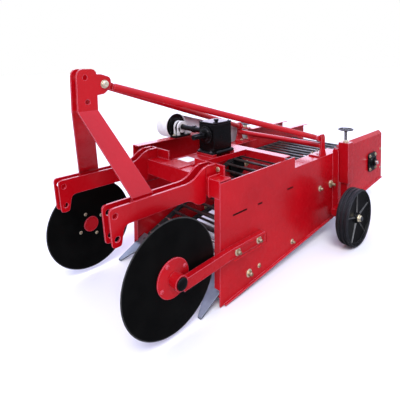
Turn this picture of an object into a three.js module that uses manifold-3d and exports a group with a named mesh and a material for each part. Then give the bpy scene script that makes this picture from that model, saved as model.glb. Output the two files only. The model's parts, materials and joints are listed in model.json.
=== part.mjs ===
// A tractor-mounted potato digger: two side plates joined by a front beam and a deck, an endless rod web
// between them, pointed shares and cutting discs in front, and a gauge wheel on a sliding leg each side.
// Millimetres. +X is the machine's left side, +Y is to the rear, +Z is up.
import * as THREE from "three";
import { mergeVertices } from "three/addons/utils/BufferGeometryUtils.js";
import Module from "manifold-3d";

const wasm = await Module();
wasm.setup();

// ---------------------------------------------------------------- driving dimensions
const GAP = 0.3; // between pieces that touch
const RUNNING = 0.6; // radial play of a shaft in its bearing
const MOVING = 6; // between a moving piece and what it passes

// Side plates. Y is measured from the axis of the cutting discs, Z from the floor.
const BODY_WIDTH = 820; // over the outer faces of the side plates
const SHEET = 6;
const PLATE_FRONT = 330;
const PLATE_FRONT_LOW = 314; // where the front edge meets the bottom edge
const PLATE_TOP = 675;
const PLATE_LOW = 4; // bottom corner above the floor
const STEP_Y = 1045; // the top edge steps down here
const STEP_TOP = 603;
const BOARD_Y = 1675; // the rear board starts here
const BOARD_TOP = 612;
const BOARD_LIP = 26; // the left board's top edge leans inwards by this much
const PLATE_REAR = 2520;
const PLATE_REAR_LOW = 195;
const MIDDLE_FLANGE = 95; // width of the folded top edge behind the step
const REAR_FLANGE = 60;
const BOTTOM_LIP = 14; // folded outwards along the bottom edge
const BOTTOM_LIP_START = 345;
const FRONT_FLANGE = 36; // folded inwards down the front edge
const FRONT_FLANGE_LOW = 96; // it ends above the shares
const RIB_Y = 1566; // an upright rib ahead of the wheel guide, on the left plate
const RIB_DEPTH = 44;
const RIB_TOP = 638;
const SLOTS = [[428, 545, 473], [650, 688, 470], [955, 1020, 479]]; // from y, to y, height
const SLOT_HEIGHT = 4;
const DRIVE_SIDE_TOP = 757; // the right plate is taller, to carry the drive
const DRIVE_FLANGE = 62;
const SPLASH_TOP = 695; // board above the right plate's rear half
const SPLASH_FRONT = 1560;
const SPLASH_REAR = 2120;

// Front beam, deck and rails
const BEAM_FRONT = PLATE_FRONT; // flush with the plates' front edges
const BEAM_DEPTH = 92;
const BEAM_TOP = 686;
const BEAM_HEIGHT = 96;
const BEAM_WALL = 8;
const RAIL_X = 86; // middle of each deck rail
const RAIL_THICKNESS = 12;
const RAIL_HEIGHT = 36;
const RAIL_PROUD = 4; // above the deck
const DECK_THICKNESS = 6;
const CROSS_BAR_FRONT = 935;
const CROSS_BAR_DEPTH = 64;
const CROSS_BAR_HEIGHT = 50;
const LUG_INNER = 124;
const LUG_OUTER = 362;
const LUG_HEIGHT = 58;
const LUG_THICKNESS = 10;
const LUG_BOLT_RADIUS = 9;

// Lower hitch: two pairs of hooked plates
const HITCH_X = 272; // middle of each pair
const HITCH_GAP = 50; // between the plates of a pair
const HITCH_PLATE = 10;
const HITCH_FRONT = -262;
const HITCH_TOP = 684;
const HITCH_UNDERSIDE = 592;
const BELLY_DEPTH = 42; // the plates deepen where they meet the beam
const HITCH_RISE_TOP = 748; // where the plates pass over the beam
const LUG_BOTTOM = 503;
const LINK_HOLE_RADIUS = 14;
const LINK_HOLES = [[-231, 647], [-223, 540]];

// Mast
const MAST_BAR = 12;
const MAST_WIDTH = 118;
const MAST_TOP_WIDTH = 106;
const MAST_FOOT_Y = -65;
const MAST_FOOT_Z = 604;
const MAST_LOW_BEND_Z = 690;
const MAST_HEAD_Y = -204;
const MAST_HIGH_BEND_Z = 1085;
const MAST_TOP = 1292;
const MAST_HEAD_GAP = 52; // between the two bars at the top
const MAST_SPACER_RADIUS = 24; // the foot is welded to a spacer between its hitch plates
const TOP_LINK_HOLE_RADIUS = 13;
const TOP_LINK_HOLES = [[-214, 1250], [-205, 1130]];

// Braces from the mast to the side plates
const PIN_Y = -111;
const PIN_Z = 1213;
const PIN_RADIUS = 15;
const PIN_LENGTH = 116;
const BRACE_RADIUS = 20;
const EYE_RADIUS = 27;
const EYE_WIDTH = 22;
const BRACKET_Y = 1430;
const BRACE_END_Z = 730;
const BRACKET_THICKNESS = 10;
const BRACKET_BOLT_RADIUS = 11;
const BRACKET_TOP = 766;
const CROSS_TUBE_RADIUS = 20;
const CROSS_TUBE_Z = 681;

// Drive
const GEARBOX_X = 0;
const GEARBOX_Y = 720;
const GEARBOX_WIDTH = 140;
const GEARBOX_DEPTH = 170;
const GEARBOX_HEIGHT = 205;
const GEARBOX_FOOT = 12;
const GEARBOX_FOOT_SIDE = 5;
const GEARBOX_FOOT_END = 20;
const PAD_HEIGHT = 18;
const PAD_DEPTH = 38;
const SHAFT_Z = 832;
const PTO_RADIUS = 20;
const PTO_LENGTH = 96;
const BOSS_RADIUS = 46;
const BOSS_LENGTH = 22;
const CROSS_SHAFT_RADIUS = 20;
const CLUTCH_RADIUS = 87;
const DRUM_RADIUS = 95;
const DRUM_WALL = 2.5;
const DRUM_DEPTH = 130;
const BEARING_X = 46 - BODY_WIDTH / 2;
const BEARING_WIDTH = 60;
const BEARING_RADIUS = 44;
const GUARD_DEPTH = 34;
const GUARD_WALL = 3;
const GUARD_FRONT_RADIUS = 88;
const GUARD_REAR_RADIUS = 76;

// Rod web
const FRONT_ROLLER_Y = 455;
const FRONT_ROLLER_Z = 62;
const FRONT_ROLLER_RADIUS = 33;
const DRIVE_Y = 2290;
const DRIVE_Z = 388;
const DRIVE_RADIUS = 90;
const DRIVE_SHAFT_RADIUS = 17;
const BELT_THICKNESS = 20;
const BELT_WIDTH = 32;
const ROD_RADIUS = 10;
const ROD_PITCH = 80;
const WEB_SIDE_PLAY = 8;
const IDLER_Y = 1374;
const IDLER_Z = 378;
const IDLER_RADIUS = 90;
const WHEEL_DISC = 30; // width of the wheels under each belt
const REAR_BEARING = 164; // square flange
const REAR_BEARING_BOSS = 44;
const REAR_BEARING_PLATE = 14;

// Shares
const SHARE_TIP_Y = 183;
const SHARE_REAR_Y = 394;
const SHARE_SLOPE = 0.5; // rise over run
const SHARE_THICKNESS = 10;
const SHARE_COUNT = 5;
const SHARE_TIP_WIDTH = 24;
const SHARE_KNEE_Y = 305;
const SHARE_PLAY = 5; // between neighbouring shares, and at the side plates
const SHARE_BEAM_FRONT = 318;
const SHARE_BEAM_THICKNESS = 14;

// Cutting discs
const DISC_X = BODY_WIDTH / 2 - 5;
const DISC_RADIUS = 280;
const DISC_THICKNESS = 5;
const DISC_EDGE = 14; // width of the sharpened rim
const DISC_Z = 310;
const HUB_FLANGE_RADIUS = 95;
const HUB_FLANGE_THICKNESS = 9;
const SPINDLE_RADIUS = 14;
const HOUSING_RADIUS = 37;
const HOUSING_LENGTH = 52;
const ARM_DEPTH = 32;
const ARM_HEIGHT = 56;
const ARM_Z = 285;
const ARM_REAR = 668;
const ARM_BEND_Y = 372;
const ARM_HUB_Y = 22;

// Gauge wheels
const WHEEL_Y = 1474; // the axle is carried ahead of the leg
const WHEEL_RADIUS = 200;
const TYRE_WIDTH = 88;
const TYRE_INNER_X = BODY_WIDTH / 2 + 160;
const RIM_RADIUS = WHEEL_RADIUS - 14;
const AXLE_PROUD = 16; // the axle's end stands out past the tyre
const HUB_RADIUS = 34;
const WHEEL_SIDES = 32;
const AXLE_RADIUS = 15;
const LEG_X = BODY_WIDTH / 2 + 74;
const LEG_Y = 1620;
const LEG_SIZE = 52;
const LEG_TOP = 516;
const LEG_RAISE = 150; // how far the leg can slide up from where it is parked
const GUIDE_WALL = 6;
const GUIDE_BOTTOM = 385;
const GUIDE_TOP = 688;
const GUIDE_FIN = 10; // two upright fins carry the guide on the side plate
const GUIDE_FIN_TOP = 640;
const SCREW_RADIUS = 11;
const HANDWHEEL_Z = 785;
const HANDWHEEL_DROP = 65; // the right screw is wound further in
const HANDWHEEL_RADIUS = 48;
const HANDWHEEL_RIM = 6;
const SCREW_BOTTOM = GUIDE_BOTTOM + 20;

// ---------------------------------------------------------------- derived places
const PLATE_OUTER = BODY_WIDTH / 2;
const PLATE_INNER = PLATE_OUTER - SHEET;
const BEAM_REAR = BEAM_FRONT + BEAM_DEPTH;
const CROSS_BAR_REAR = CROSS_BAR_FRONT + CROSS_BAR_DEPTH;
const DECK_TOP = BEAM_TOP + GAP + DECK_THICKNESS;
const RAIL_TOP = DECK_TOP + RAIL_PROUD;
const PAD_TOP = DECK_TOP + PAD_HEIGHT;
const GEARBOX_BOTTOM = PAD_TOP + GAP;
const GEARBOX_FRONT = GEARBOX_Y - GEARBOX_DEPTH / 2;
const BELT_OUTER = BELT_THICKNESS + GAP;
const BELT_X = PLATE_INNER - WEB_SIDE_PLAY - BELT_WIDTH / 2;

// ---------------------------------------------------------------- solids
const X_AXIS = new THREE.Vector3(1, 0, 0);

/** A closed geometry as a manifold-3d solid whose faces point out. */
function solid(geometry) {
  const bare = geometry.index ? geometry.toNonIndexed() : geometry.clone();
  for (const name of Object.keys(bare.attributes)) {
    if (name !== "position") bare.deleteAttribute(name);
  }
  const merged = mergeVertices(bare, 1e-3);
  const triVerts = new Uint32Array(merged.index.array);
  const make = () =>
    new wasm.Manifold(
      new wasm.Mesh({ numProp: 3, vertProperties: merged.attributes.position.array, triVerts }),
    );
  const made = make();
  if (made.volume() > 0) return made;
  for (let i = 0; i < triVerts.length; i += 3) {
    [triVerts[i + 1], triVerts[i + 2]] = [triVerts[i + 2], triVerts[i + 1]];
  }
  return make();
}

function join(...solids) {
  return solids.reduce((all, one) => all.add(one));
}

function geometryOf(made) {
  const mesh = made.getMesh();
  const geometry = new THREE.BufferGeometry();
  geometry.setAttribute("position", new THREE.BufferAttribute(mesh.vertProperties, 3));
  geometry.setIndex(new THREE.BufferAttribute(mesh.triVerts, 1));
  const flat = geometry.toNonIndexed();
  flat.computeVertexNormals();
  return flat;
}

/** A box between two values on each axis, in either order. */
function box(x, y, z) {
  const size = [x, y, z].map(([a, b]) => Math.abs(b - a));
  const geometry = new THREE.BoxGeometry(...size);
  geometry.translate((x[0] + x[1]) / 2, (y[0] + y[1]) / 2, (z[0] + z[1]) / 2);
  return solid(geometry);
}

/** A cylinder between two points. */
function rod(from, to, radius, sides = 16) {
  const a = new THREE.Vector3(...from);
  const b = new THREE.Vector3(...to);
  const geometry = new THREE.CylinderGeometry(radius, radius, a.distanceTo(b), sides);
  const turn = new THREE.Quaternion().setFromUnitVectors(
    new THREE.Vector3(0, 1, 0),
    b.clone().sub(a).normalize(),
  );
  geometry.applyQuaternion(turn);
  geometry.translate(...a.add(b).multiplyScalar(0.5));
  return solid(geometry);
}

/** Radius of a many-sided bore that clears a shaft of this radius by the gap. */
function bore(radius, gap = GAP, sides = 16) {
  return (radius + gap) / Math.cos(Math.PI / sides);
}

function rodX(x, y, z, radius, sides) {
  return rod([x[0], y, z], [x[1], y, z], radius, sides);
}

/** An outline through [u, v, radius] corners, each rounded to its radius. */
function outline(corners) {
  const shape = new THREE.Shape();
  const count = corners.length;
  corners.forEach(([u, v, radius = 0], i) => {
    const corner = new THREE.Vector2(u, v);
    const before = new THREE.Vector2(...corners[(i + count - 1) % count].slice(0, 2)).sub(corner);
    const after = new THREE.Vector2(...corners[(i + 1) % count].slice(0, 2)).sub(corner);
    const reach = Math.min(radius, before.length() * 0.45, after.length() * 0.45);
    const start = corner.clone().addScaledVector(before.normalize(), reach);
    const end = corner.clone().addScaledVector(after.normalize(), reach);
    if (i === 0) shape.moveTo(start.x, start.y);
    else shape.lineTo(start.x, start.y);
    if (reach > 0) shape.quadraticCurveTo(corner.x, corner.y, end.x, end.y);
  });
  shape.closePath();
  return shape;
}

/** A YZ outline pushed along X. */
function alongX(shape, x, curveSegments = 4) {
  const low = Math.min(...x);
  const depth = Math.abs(x[1] - x[0]);
  const geometry = new THREE.ExtrudeGeometry(shape, { depth, bevelEnabled: false, curveSegments });
  geometry.applyMatrix4(
    new THREE.Matrix4().makeBasis(
      new THREE.Vector3(0, 1, 0),
      new THREE.Vector3(0, 0, 1),
      new THREE.Vector3(1, 0, 0),
    ),
  );
  geometry.translate(low, 0, 0);
  return solid(geometry);
}

/** An XY outline pushed along Z. */
function alongZ(shape, z, curveSegments = 4) {
  const depth = Math.abs(z[1] - z[0]);
  const geometry = new THREE.ExtrudeGeometry(shape, { depth, bevelEnabled: false, curveSegments });
  geometry.translate(0, 0, Math.min(...z));
  return solid(geometry);
}

/** A [radius, x] profile turned about a line along X through (y, z). */
function turned(profile, y, z, sides) {
  const points = profile.map(([radius, x]) => new THREE.Vector2(radius, x));
  const geometry = new THREE.LatheGeometry(points, sides);
  geometry.applyMatrix4(
    new THREE.Matrix4().makeBasis(
      new THREE.Vector3(0, 0, 1),
      new THREE.Vector3(1, 0, 0),
      new THREE.Vector3(0, 1, 0),
    ),
  );
  geometry.translate(0, y, z);
  return solid(geometry);
}

/** A bar whose section is a rectangle at each level: [z, middle x, front y, rear y]. */
function leaningBar(levels, thickness) {
  const positions = [];
  const index = [];
  for (const [z, x, front, rear] of levels) {
    const half = thickness / 2;
    positions.push(x - half, front, z, x + half, front, z, x + half, rear, z, x - half, rear, z);
  }
  const quad = (a, b, c, d) => index.push(a, b, c, a, c, d);
  quad(3, 2, 1, 0);
  for (let level = 0; level + 1 < levels.length; level += 1) {
    for (let side = 0; side < 4; side += 1) {
      const next = (side + 1) % 4;
      quad(level * 4 + side, level * 4 + next, level * 4 + 4 + next, level * 4 + 4 + side);
    }
  }
  const top = (levels.length - 1) * 4;
  quad(top, top + 1, top + 2, top + 3);
  const geometry = new THREE.BufferGeometry();
  geometry.setAttribute("position", new THREE.Float32BufferAttribute(positions, 3));
  geometry.setIndex(index);
  return solid(geometry);
}

/** The convex loop round wheels in the YZ plane, given in the order from +Y towards +Z. */
function loopShape(...wheels) {
  const count = wheels.length;
  const leaving = wheels.map((wheel, i) => {
    const next = wheels[(i + 1) % count];
    const span = Math.hypot(next.y - wheel.y, next.z - wheel.z);
    const heading = Math.atan2(next.z - wheel.z, next.y - wheel.y);
    return heading - Math.acos((wheel.radius - next.radius) / span);
  });
  const shape = new THREE.Shape();
  wheels.forEach((wheel, i) => {
    const start = leaving[(i + count - 1) % count];
    const sweep = (leaving[i] - start + 4 * Math.PI) % (2 * Math.PI);
    shape.absarc(wheel.y, wheel.z, wheel.radius, start, start + sweep, false);
  });
  shape.closePath();
  return shape;
}

// ---------------------------------------------------------------- materials and nodes
function paint(color, roughness = 0.35, metalness = 0.1) {
  return new THREE.MeshStandardMaterial({ color, roughness, metalness });
}
const redPaint = () => paint(0xc01020);
const blackPaint = () => paint(0x1b1b1a, 0.4);
const blackRubber = () => paint(0x26262a, 0.8, 0);
const brightSteel = () => paint(0xb9bcc0, 0.35, 0.9);
const shareSteel = () => paint(0x93a4c4, 0.4, 0.8);
const whitePaint = () => paint(0xe9e9e6, 0.4, 0);
const greyPaint = () => paint(0xc4c6c8, 0.5, 0);
const zincPlate = () => paint(0xb7a878, 0.4, 0.8);

const machine = new THREE.Group();

function addPart(name, made, material) {
  const mesh = new THREE.Mesh(geometryOf(made), material);
  mesh.name = name;
  machine.add(mesh);
}

/** Runs build(side, word) for the left side (+1) and the right side (-1). */
function bothSides(build) {
  build(1, "left");
  build(-1, "right");
}

/** Two X values on one side of the machine. */
const across = (side, a, b) => [side * a, side * b];

// ---------------------------------------------------------------- frame
/** Height of the bottom edge of the side plates at y. */
function plateBottom(y) {
  const share = (y - PLATE_FRONT_LOW) / (PLATE_REAR - PLATE_FRONT_LOW);
  return PLATE_LOW + share * (PLATE_REAR_LOW - PLATE_LOW);
}

function sidePlate(side) {
  const frontTop = side > 0 ? PLATE_TOP : DRIVE_SIDE_TOP;
  const corners = [
    [PLATE_FRONT_LOW, PLATE_LOW, 10],
    [PLATE_REAR, PLATE_REAR_LOW, 12],
    [PLATE_REAR, BOARD_TOP, 4],
  ];
  if (side < 0) {
    corners.push([SPLASH_REAR, BOARD_TOP]);
    corners.push([SPLASH_REAR, SPLASH_TOP, 8]);
    corners.push([SPLASH_FRONT, SPLASH_TOP, 8]);
    corners.push([SPLASH_FRONT, STEP_TOP]);
  } else {
    corners.push([BOARD_Y, BOARD_TOP]);
    corners.push([BOARD_Y, STEP_TOP]);
  }
  corners.push([STEP_Y, STEP_TOP]);
  corners.push([STEP_Y, frontTop, 6]);
  corners.push([PLATE_FRONT, frontTop, 6]);
  let made = alongX(outline(corners), across(side, PLATE_INNER, PLATE_OUTER));

  const folds = [];
  const middleEnd = side > 0 ? BOARD_Y : SPLASH_FRONT;
  const inward = (width) => across(side, PLATE_INNER - width, PLATE_OUTER - 1);
  folds.push(box(inward(MIDDLE_FLANGE), [STEP_Y + GAP, middleEnd], [STEP_TOP - SHEET, STEP_TOP]));
  const rearStart = side > 0 ? BOARD_Y : SPLASH_REAR;
  if (side > 0) {
    const lip = box([-BOARD_LIP * Math.SQRT2, 0], [rearStart, PLATE_REAR], [-SHEET, 0]);
    folds.push(lip.rotate([0, 45, 0]).translate([PLATE_OUTER, 0, BOARD_TOP]));
  } else {
    folds.push(box(inward(REAR_FLANGE), [rearStart, PLATE_REAR], [BOARD_TOP - SHEET, BOARD_TOP]));
  }
  if (side < 0) {
    folds.push(box(inward(DRIVE_FLANGE), [PLATE_FRONT, STEP_Y], [frontTop - SHEET, frontTop]));
    folds.push(box(inward(REAR_FLANGE), [SPLASH_FRONT, SPLASH_REAR], [SPLASH_TOP - SHEET, SPLASH_TOP]));
  }
  const lipCorners = [
    [BOTTOM_LIP_START, plateBottom(BOTTOM_LIP_START)],
    [PLATE_REAR, PLATE_REAR_LOW],
    [PLATE_REAR, PLATE_REAR_LOW + SHEET],
    [BOTTOM_LIP_START, plateBottom(BOTTOM_LIP_START) + SHEET],
  ];
  folds.push(alongX(outline(lipCorners), across(side, PLATE_INNER + 1, PLATE_OUTER + BOTTOM_LIP)));
  const frontLean = (PLATE_FRONT - PLATE_FRONT_LOW) / (frontTop - PLATE_LOW);
  const frontEdge = (z) => PLATE_FRONT_LOW + frontLean * (z - PLATE_LOW);
  const flangeTop = BEAM_TOP - BEAM_HEIGHT - GAP;
  const flangeCorners = [
    [frontEdge(FRONT_FLANGE_LOW), FRONT_FLANGE_LOW],
    [frontEdge(FRONT_FLANGE_LOW) + SHEET, FRONT_FLANGE_LOW],
    [frontEdge(flangeTop) + SHEET, flangeTop],
    [frontEdge(flangeTop), flangeTop],
  ];
  folds.push(alongX(outline(flangeCorners), across(side, PLATE_INNER - FRONT_FLANGE, PLATE_INNER + 1)));
  if (side > 0) {
    const ribLow = plateBottom(RIB_Y) + SHEET / 2;
    const reach = across(side, PLATE_OUTER - 1, PLATE_OUTER + RIB_DEPTH);
    folds.push(box(reach, [RIB_Y, RIB_Y + SHEET], [ribLow, RIB_TOP - RIB_DEPTH / 2]));
    const middle = side * (PLATE_OUTER + RIB_DEPTH / 2);
    const crown = RIB_TOP - RIB_DEPTH / 2;
    folds.push(rod([middle, RIB_Y, crown], [middle, RIB_Y + SHEET, crown], RIB_DEPTH / 2, 24));
  }
  made = join(made, ...folds);
  const through = across(side, PLATE_INNER - 5, PLATE_OUTER + 5);
  for (const [from, to, height] of SLOTS) {
    made = made.subtract(box(through, [from, to], [height, height + SLOT_HEIGHT]));
  }
  return made.subtract(rodX(through, DRIVE_Y, DRIVE_Z,
    bore(DRIVE_SHAFT_RADIUS)));
}

function frontBeam() {
  const half = PLATE_INNER - GAP;
  const z = [BEAM_TOP - BEAM_HEIGHT, BEAM_TOP];
  const outer = box([-half, half], [BEAM_FRONT, BEAM_REAR], z);
  const inner = box(
    [-half - 1, half + 1],
    [BEAM_FRONT + BEAM_WALL, BEAM_REAR - BEAM_WALL],
    [z[0] + BEAM_WALL, z[1] - BEAM_WALL],
  );
  const lugs = [1, -1].map((side) => {
    const y = [BEAM_REAR - LUG_THICKNESS, BEAM_REAR];
    const plate = box(across(side, LUG_INNER, LUG_OUTER), y, [BEAM_TOP - 1, BEAM_TOP + LUG_HEIGHT]);
    const x = side * (HITCH_X + HITCH_GAP);
    const z0 = BEAM_TOP + LUG_HEIGHT / 2;
    return plate.subtract(rod([x, y[0] - 5, z0], [x, y[1] + 5, z0], LUG_BOLT_RADIUS, 12));
  });
  return join(outer.subtract(inner), ...lugs);
}

function deckRail(side) {
  const x = across(side, RAIL_X - RAIL_THICKNESS / 2, RAIL_X + RAIL_THICKNESS / 2);
  return box(x, [BEAM_REAR + GAP, CROSS_BAR_FRONT - GAP], [RAIL_TOP - RAIL_HEIGHT, RAIL_TOP]);
}

function deck() {
  const half = RAIL_X - RAIL_THICKNESS / 2 - GAP;
  const sheet = box([-half, half], [BEAM_FRONT, CROSS_BAR_FRONT - GAP], [BEAM_TOP + GAP, DECK_TOP]);
  const padX = GEARBOX_WIDTH / 2 + GEARBOX_FOOT_SIDE;
  const pads = [-1, 1].map((end) => {
    const y = GEARBOX_Y + end * (GEARBOX_DEPTH / 2);
    const across = [GEARBOX_X - padX, GEARBOX_X + padX];
    const along = [y - PAD_DEPTH / 2, y + PAD_DEPTH / 2];
    return box(across, along, [DECK_TOP - 1, PAD_TOP]);
  });
  return join(sheet, ...pads);
}

function crossBar() {
  const half = PLATE_INNER - GAP;
  const top = DECK_TOP;
  const y = [CROSS_BAR_FRONT, CROSS_BAR_REAR];
  const outer = box([-half, half], y, [top - CROSS_BAR_HEIGHT, top]);
  const inner = box(
    [-half - 1, half + 1],
    [y[0] + SHEET, y[1] + 1],
    [top - CROSS_BAR_HEIGHT + SHEET, top - SHEET],
  );
  return outer.subtract(inner);
}

function hitchPlate(side, inner) {
  const face = HITCH_X + (inner ? -1 : 1) * (HITCH_GAP / 2);
  const far = face + (inner ? -1 : 1) * HITCH_PLATE;
  const corners = [
    [HITCH_FRONT, HITCH_TOP, 24],
    [HITCH_FRONT + 14, LUG_BOTTOM, 16],
    [HITCH_FRONT + 60, LUG_BOTTOM, 12],
    [HITCH_FRONT + 76, HITCH_UNDERSIDE, 26],
    [BEAM_FRONT - 120, HITCH_UNDERSIDE, 34],
    [BEAM_FRONT - 66, HITCH_UNDERSIDE - BELLY_DEPTH, 30],
    [BEAM_FRONT - 8, HITCH_UNDERSIDE - BELLY_DEPTH, 34],
    [BEAM_FRONT - GAP, HITCH_UNDERSIDE - 6, 8],
    [BEAM_FRONT - GAP, BEAM_TOP + GAP],
    [BEAM_REAR - LUG_THICKNESS - GAP, BEAM_TOP + GAP],
    [BEAM_REAR - LUG_THICKNESS - GAP, HITCH_RISE_TOP, 10],
    [BEAM_FRONT - 14, HITCH_RISE_TOP, 46],
    [BEAM_FRONT - 98, HITCH_TOP, 60],
  ];
  let made = alongX(outline(corners), across(side, face, far), 3);
  for (const [y, z] of LINK_HOLES) {
    made = made.subtract(rodX(across(side, face - 40, face + 40), y, z, LINK_HOLE_RADIUS, 14));
  }
  return made;
}

// ---------------------------------------------------------------- mast and braces
function mastBar(side) {
  const head = side * (MAST_HEAD_GAP / 2 + MAST_BAR / 2);
  const foot = side * HITCH_X;
  const half = MAST_WIDTH / 2;
  const headHalf = MAST_TOP_WIDTH / 2;
  const levels = [
    [MAST_FOOT_Z, foot, MAST_FOOT_Y - half, MAST_FOOT_Y + half],
    [MAST_LOW_BEND_Z, foot, MAST_FOOT_Y - half, MAST_FOOT_Y + half],
    [MAST_HIGH_BEND_Z, head, MAST_HEAD_Y - headHalf, MAST_HEAD_Y + headHalf],
    [MAST_TOP - 34, head, MAST_HEAD_Y - headHalf, MAST_HEAD_Y + headHalf],
  ];
  for (const share of [0.5, 0.87, 1]) {
    const inset = 30 * (1 - Math.sqrt(1 - share * share));
    const reach = headHalf - inset;
    levels.push([MAST_TOP - 34 * (1 - share), head, MAST_HEAD_Y - reach, MAST_HEAD_Y + reach]);
  }
  const ear = alongX(
    outline([
      [MAST_HEAD_Y, PIN_Z - 58],
      [PIN_Y - 2, PIN_Z - 50, 12],
      [PIN_Y + 37, PIN_Z - 14, 22],
      [PIN_Y + 37, PIN_Z + 34, 22],
      [PIN_Y - 20, PIN_Z + 52, 12],
      [MAST_HEAD_Y, PIN_Z + 52],
    ]),
    [head - MAST_BAR / 2, head + MAST_BAR / 2],
  );
  const footZ = HITCH_UNDERSIDE + 46;
  const reach = HITCH_GAP / 2 - GAP;
  const bush = rodX([foot - reach, foot + reach], MAST_FOOT_Y, footZ, MAST_SPACER_RADIUS);
  let made = join(leaningBar(levels, MAST_BAR), ear, bush);
  for (const [y, z] of TOP_LINK_HOLES) {
    made = made.subtract(rodX([head - 20, head + 20], y, z, TOP_LINK_HOLE_RADIUS, 14));
  }
  return made.subtract(rodX([head - 20, head + 20], PIN_Y, PIN_Z, bore(PIN_RADIUS)));
}

function topPin() {
  const half = PIN_LENGTH / 2;
  const shank = rodX([-half, half], PIN_Y, PIN_Z, PIN_RADIUS);
  const faceX = MAST_HEAD_GAP / 2 + MAST_BAR + GAP;
  const nuts = [1, -1].map((side) => rodX(across(side, faceX, faceX + 14), PIN_Y, PIN_Z, PIN_RADIUS + 9, 6));
  return join(shank, ...nuts);
}

function brace(side) {
  const eyeX = side * (EYE_WIDTH / 2 + 1.5);
  const endX = side * (PLATE_INNER - BRACKET_THICKNESS - 2 - EYE_WIDTH / 2);
  const from = new THREE.Vector3(eyeX, PIN_Y, PIN_Z);
  const to = new THREE.Vector3(endX, BRACKET_Y, BRACE_END_Z);
  const way = to.clone().sub(from).normalize();
  const start = from.clone().addScaledVector(way, 62);
  const end = to.clone().addScaledVector(way, -52);
  const tube = rod(start.toArray(), end.toArray(), BRACE_RADIUS, 14);
  const slope = (to.z - from.z) / (to.y - from.y);
  const tongue = (x, y, z, reach, outward) => {
    const half = EYE_WIDTH / 2;
    const low = outward > 0 ? y : y - reach;
    const high = outward > 0 ? y + reach : y;
    const edge = (at, lift) => z + slope * (at - y) + lift;
    return alongX(
      outline([
        [low, edge(low, -16)],
        [high, edge(high, -16)],
        [high, edge(high, 16)],
        [low, edge(low, 16)],
      ]),
      [x - half, x + half],
    );
  };
  const frontEye = rodX([eyeX - EYE_WIDTH / 2, eyeX + EYE_WIDTH / 2], PIN_Y, PIN_Z, EYE_RADIUS);
  const rearEye = rodX([endX - EYE_WIDTH / 2, endX + EYE_WIDTH / 2], BRACKET_Y, BRACE_END_Z, EYE_RADIUS - 3);
  const made = join(
    tube,
    frontEye,
    rearEye,
    tongue(eyeX, PIN_Y, PIN_Z, 78, 1),
    tongue(endX, BRACKET_Y, BRACE_END_Z, 68, -1),
  );
  return made
    .subtract(rodX([eyeX - 20, eyeX + 20], PIN_Y, PIN_Z, bore(PIN_RADIUS)))
    .subtract(rodX([endX - 20, endX + 20], BRACKET_Y, BRACE_END_Z, bore(BRACKET_BOLT_RADIUS)));
}

function braceBracket(side) {
  const outer = PLATE_INNER - 2;
  const inner = outer - BRACKET_THICKNESS;
  const base = box(
    across(side, PLATE_INNER - MIDDLE_FLANGE + 8, outer),
    [BRACKET_Y - 52, BRACKET_Y + 52],
    [STEP_TOP + GAP, STEP_TOP + GAP + 10],
  );
  const upright = alongX(
    outline([
      [BRACKET_Y - 48, STEP_TOP + 4],
      [BRACKET_Y + 48, STEP_TOP + 4],
      [BRACKET_Y + 28, STEP_TOP + 62, 24],
      [BRACKET_Y + 34, BRACKET_TOP - 26, 20],
      [BRACKET_Y + 18, BRACKET_TOP, 14],
      [BRACKET_Y - 26, BRACKET_TOP, 16],
      [BRACKET_Y - 30, BRACKET_TOP - 18, 6],
      [BRACKET_Y - 17, BRACE_END_Z, 12],
      [BRACKET_Y - 24, STEP_TOP + 62, 24],
    ]),
    across(side, inner, outer),
  );
  const boltReach = EYE_WIDTH + 12;
  const bolt = rodX(across(side, inner - boltReach, inner + 2), BRACKET_Y, BRACE_END_Z, BRACKET_BOLT_RADIUS);
  return join(base, upright, bolt);
}

function crossTube() {
  const half = PLATE_INNER - 2 - BRACKET_THICKNESS - GAP;
  return rodX([-half, half], BRACKET_Y, CROSS_TUBE_Z, CROSS_TUBE_RADIUS, 20);
}

// ---------------------------------------------------------------- drive
function gearbox() {
  const halfX = GEARBOX_WIDTH / 2;
  const halfY = GEARBOX_DEPTH / 2;
  const footX = halfX + GEARBOX_FOOT_SIDE;
  const footY = halfY + GEARBOX_FOOT_END;
  const bottom = GEARBOX_BOTTOM + GEARBOX_FOOT;
  const base = box(
    [GEARBOX_X - footX, GEARBOX_X + footX],
    [GEARBOX_Y - footY, GEARBOX_Y + footY],
    [GEARBOX_BOTTOM, bottom],
  );
  const body = box(
    [GEARBOX_X - halfX, GEARBOX_X + halfX],
    [GEARBOX_Y - halfY, GEARBOX_Y + halfY],
    [bottom - 1, GEARBOX_BOTTOM + GEARBOX_HEIGHT],
  );
  const front = GEARBOX_Y - halfY;
  const boss = rod([GEARBOX_X, front - BOSS_LENGTH, SHAFT_Z], [GEARBOX_X, front + 2, SHAFT_Z], BOSS_RADIUS);
  const bossX = GEARBOX_X - halfX;
  const sideBoss = rodX([bossX - BOSS_LENGTH, bossX + 2], GEARBOX_Y, SHAFT_Z, BOSS_RADIUS - 4);
  const inputRadius = bore(PTO_RADIUS, RUNNING);
  const inputBore = rod([GEARBOX_X, front - 60, SHAFT_Z], [GEARBOX_X, front + 34, SHAFT_Z], inputRadius);
  const outputBore = rodX([bossX - 60, bossX + 24], GEARBOX_Y, SHAFT_Z, bore(CROSS_SHAFT_RADIUS, RUNNING));
  return join(base, body, boss, sideBoss).subtract(inputBore).subtract(outputBore);
}

function ptoShaft() {
  const rear = GEARBOX_FRONT + 30;
  const front = GEARBOX_FRONT - BOSS_LENGTH - PTO_LENGTH;
  return rod([GEARBOX_X, front, SHAFT_Z], [GEARBOX_X, rear, SHAFT_Z], PTO_RADIUS);
}

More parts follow.
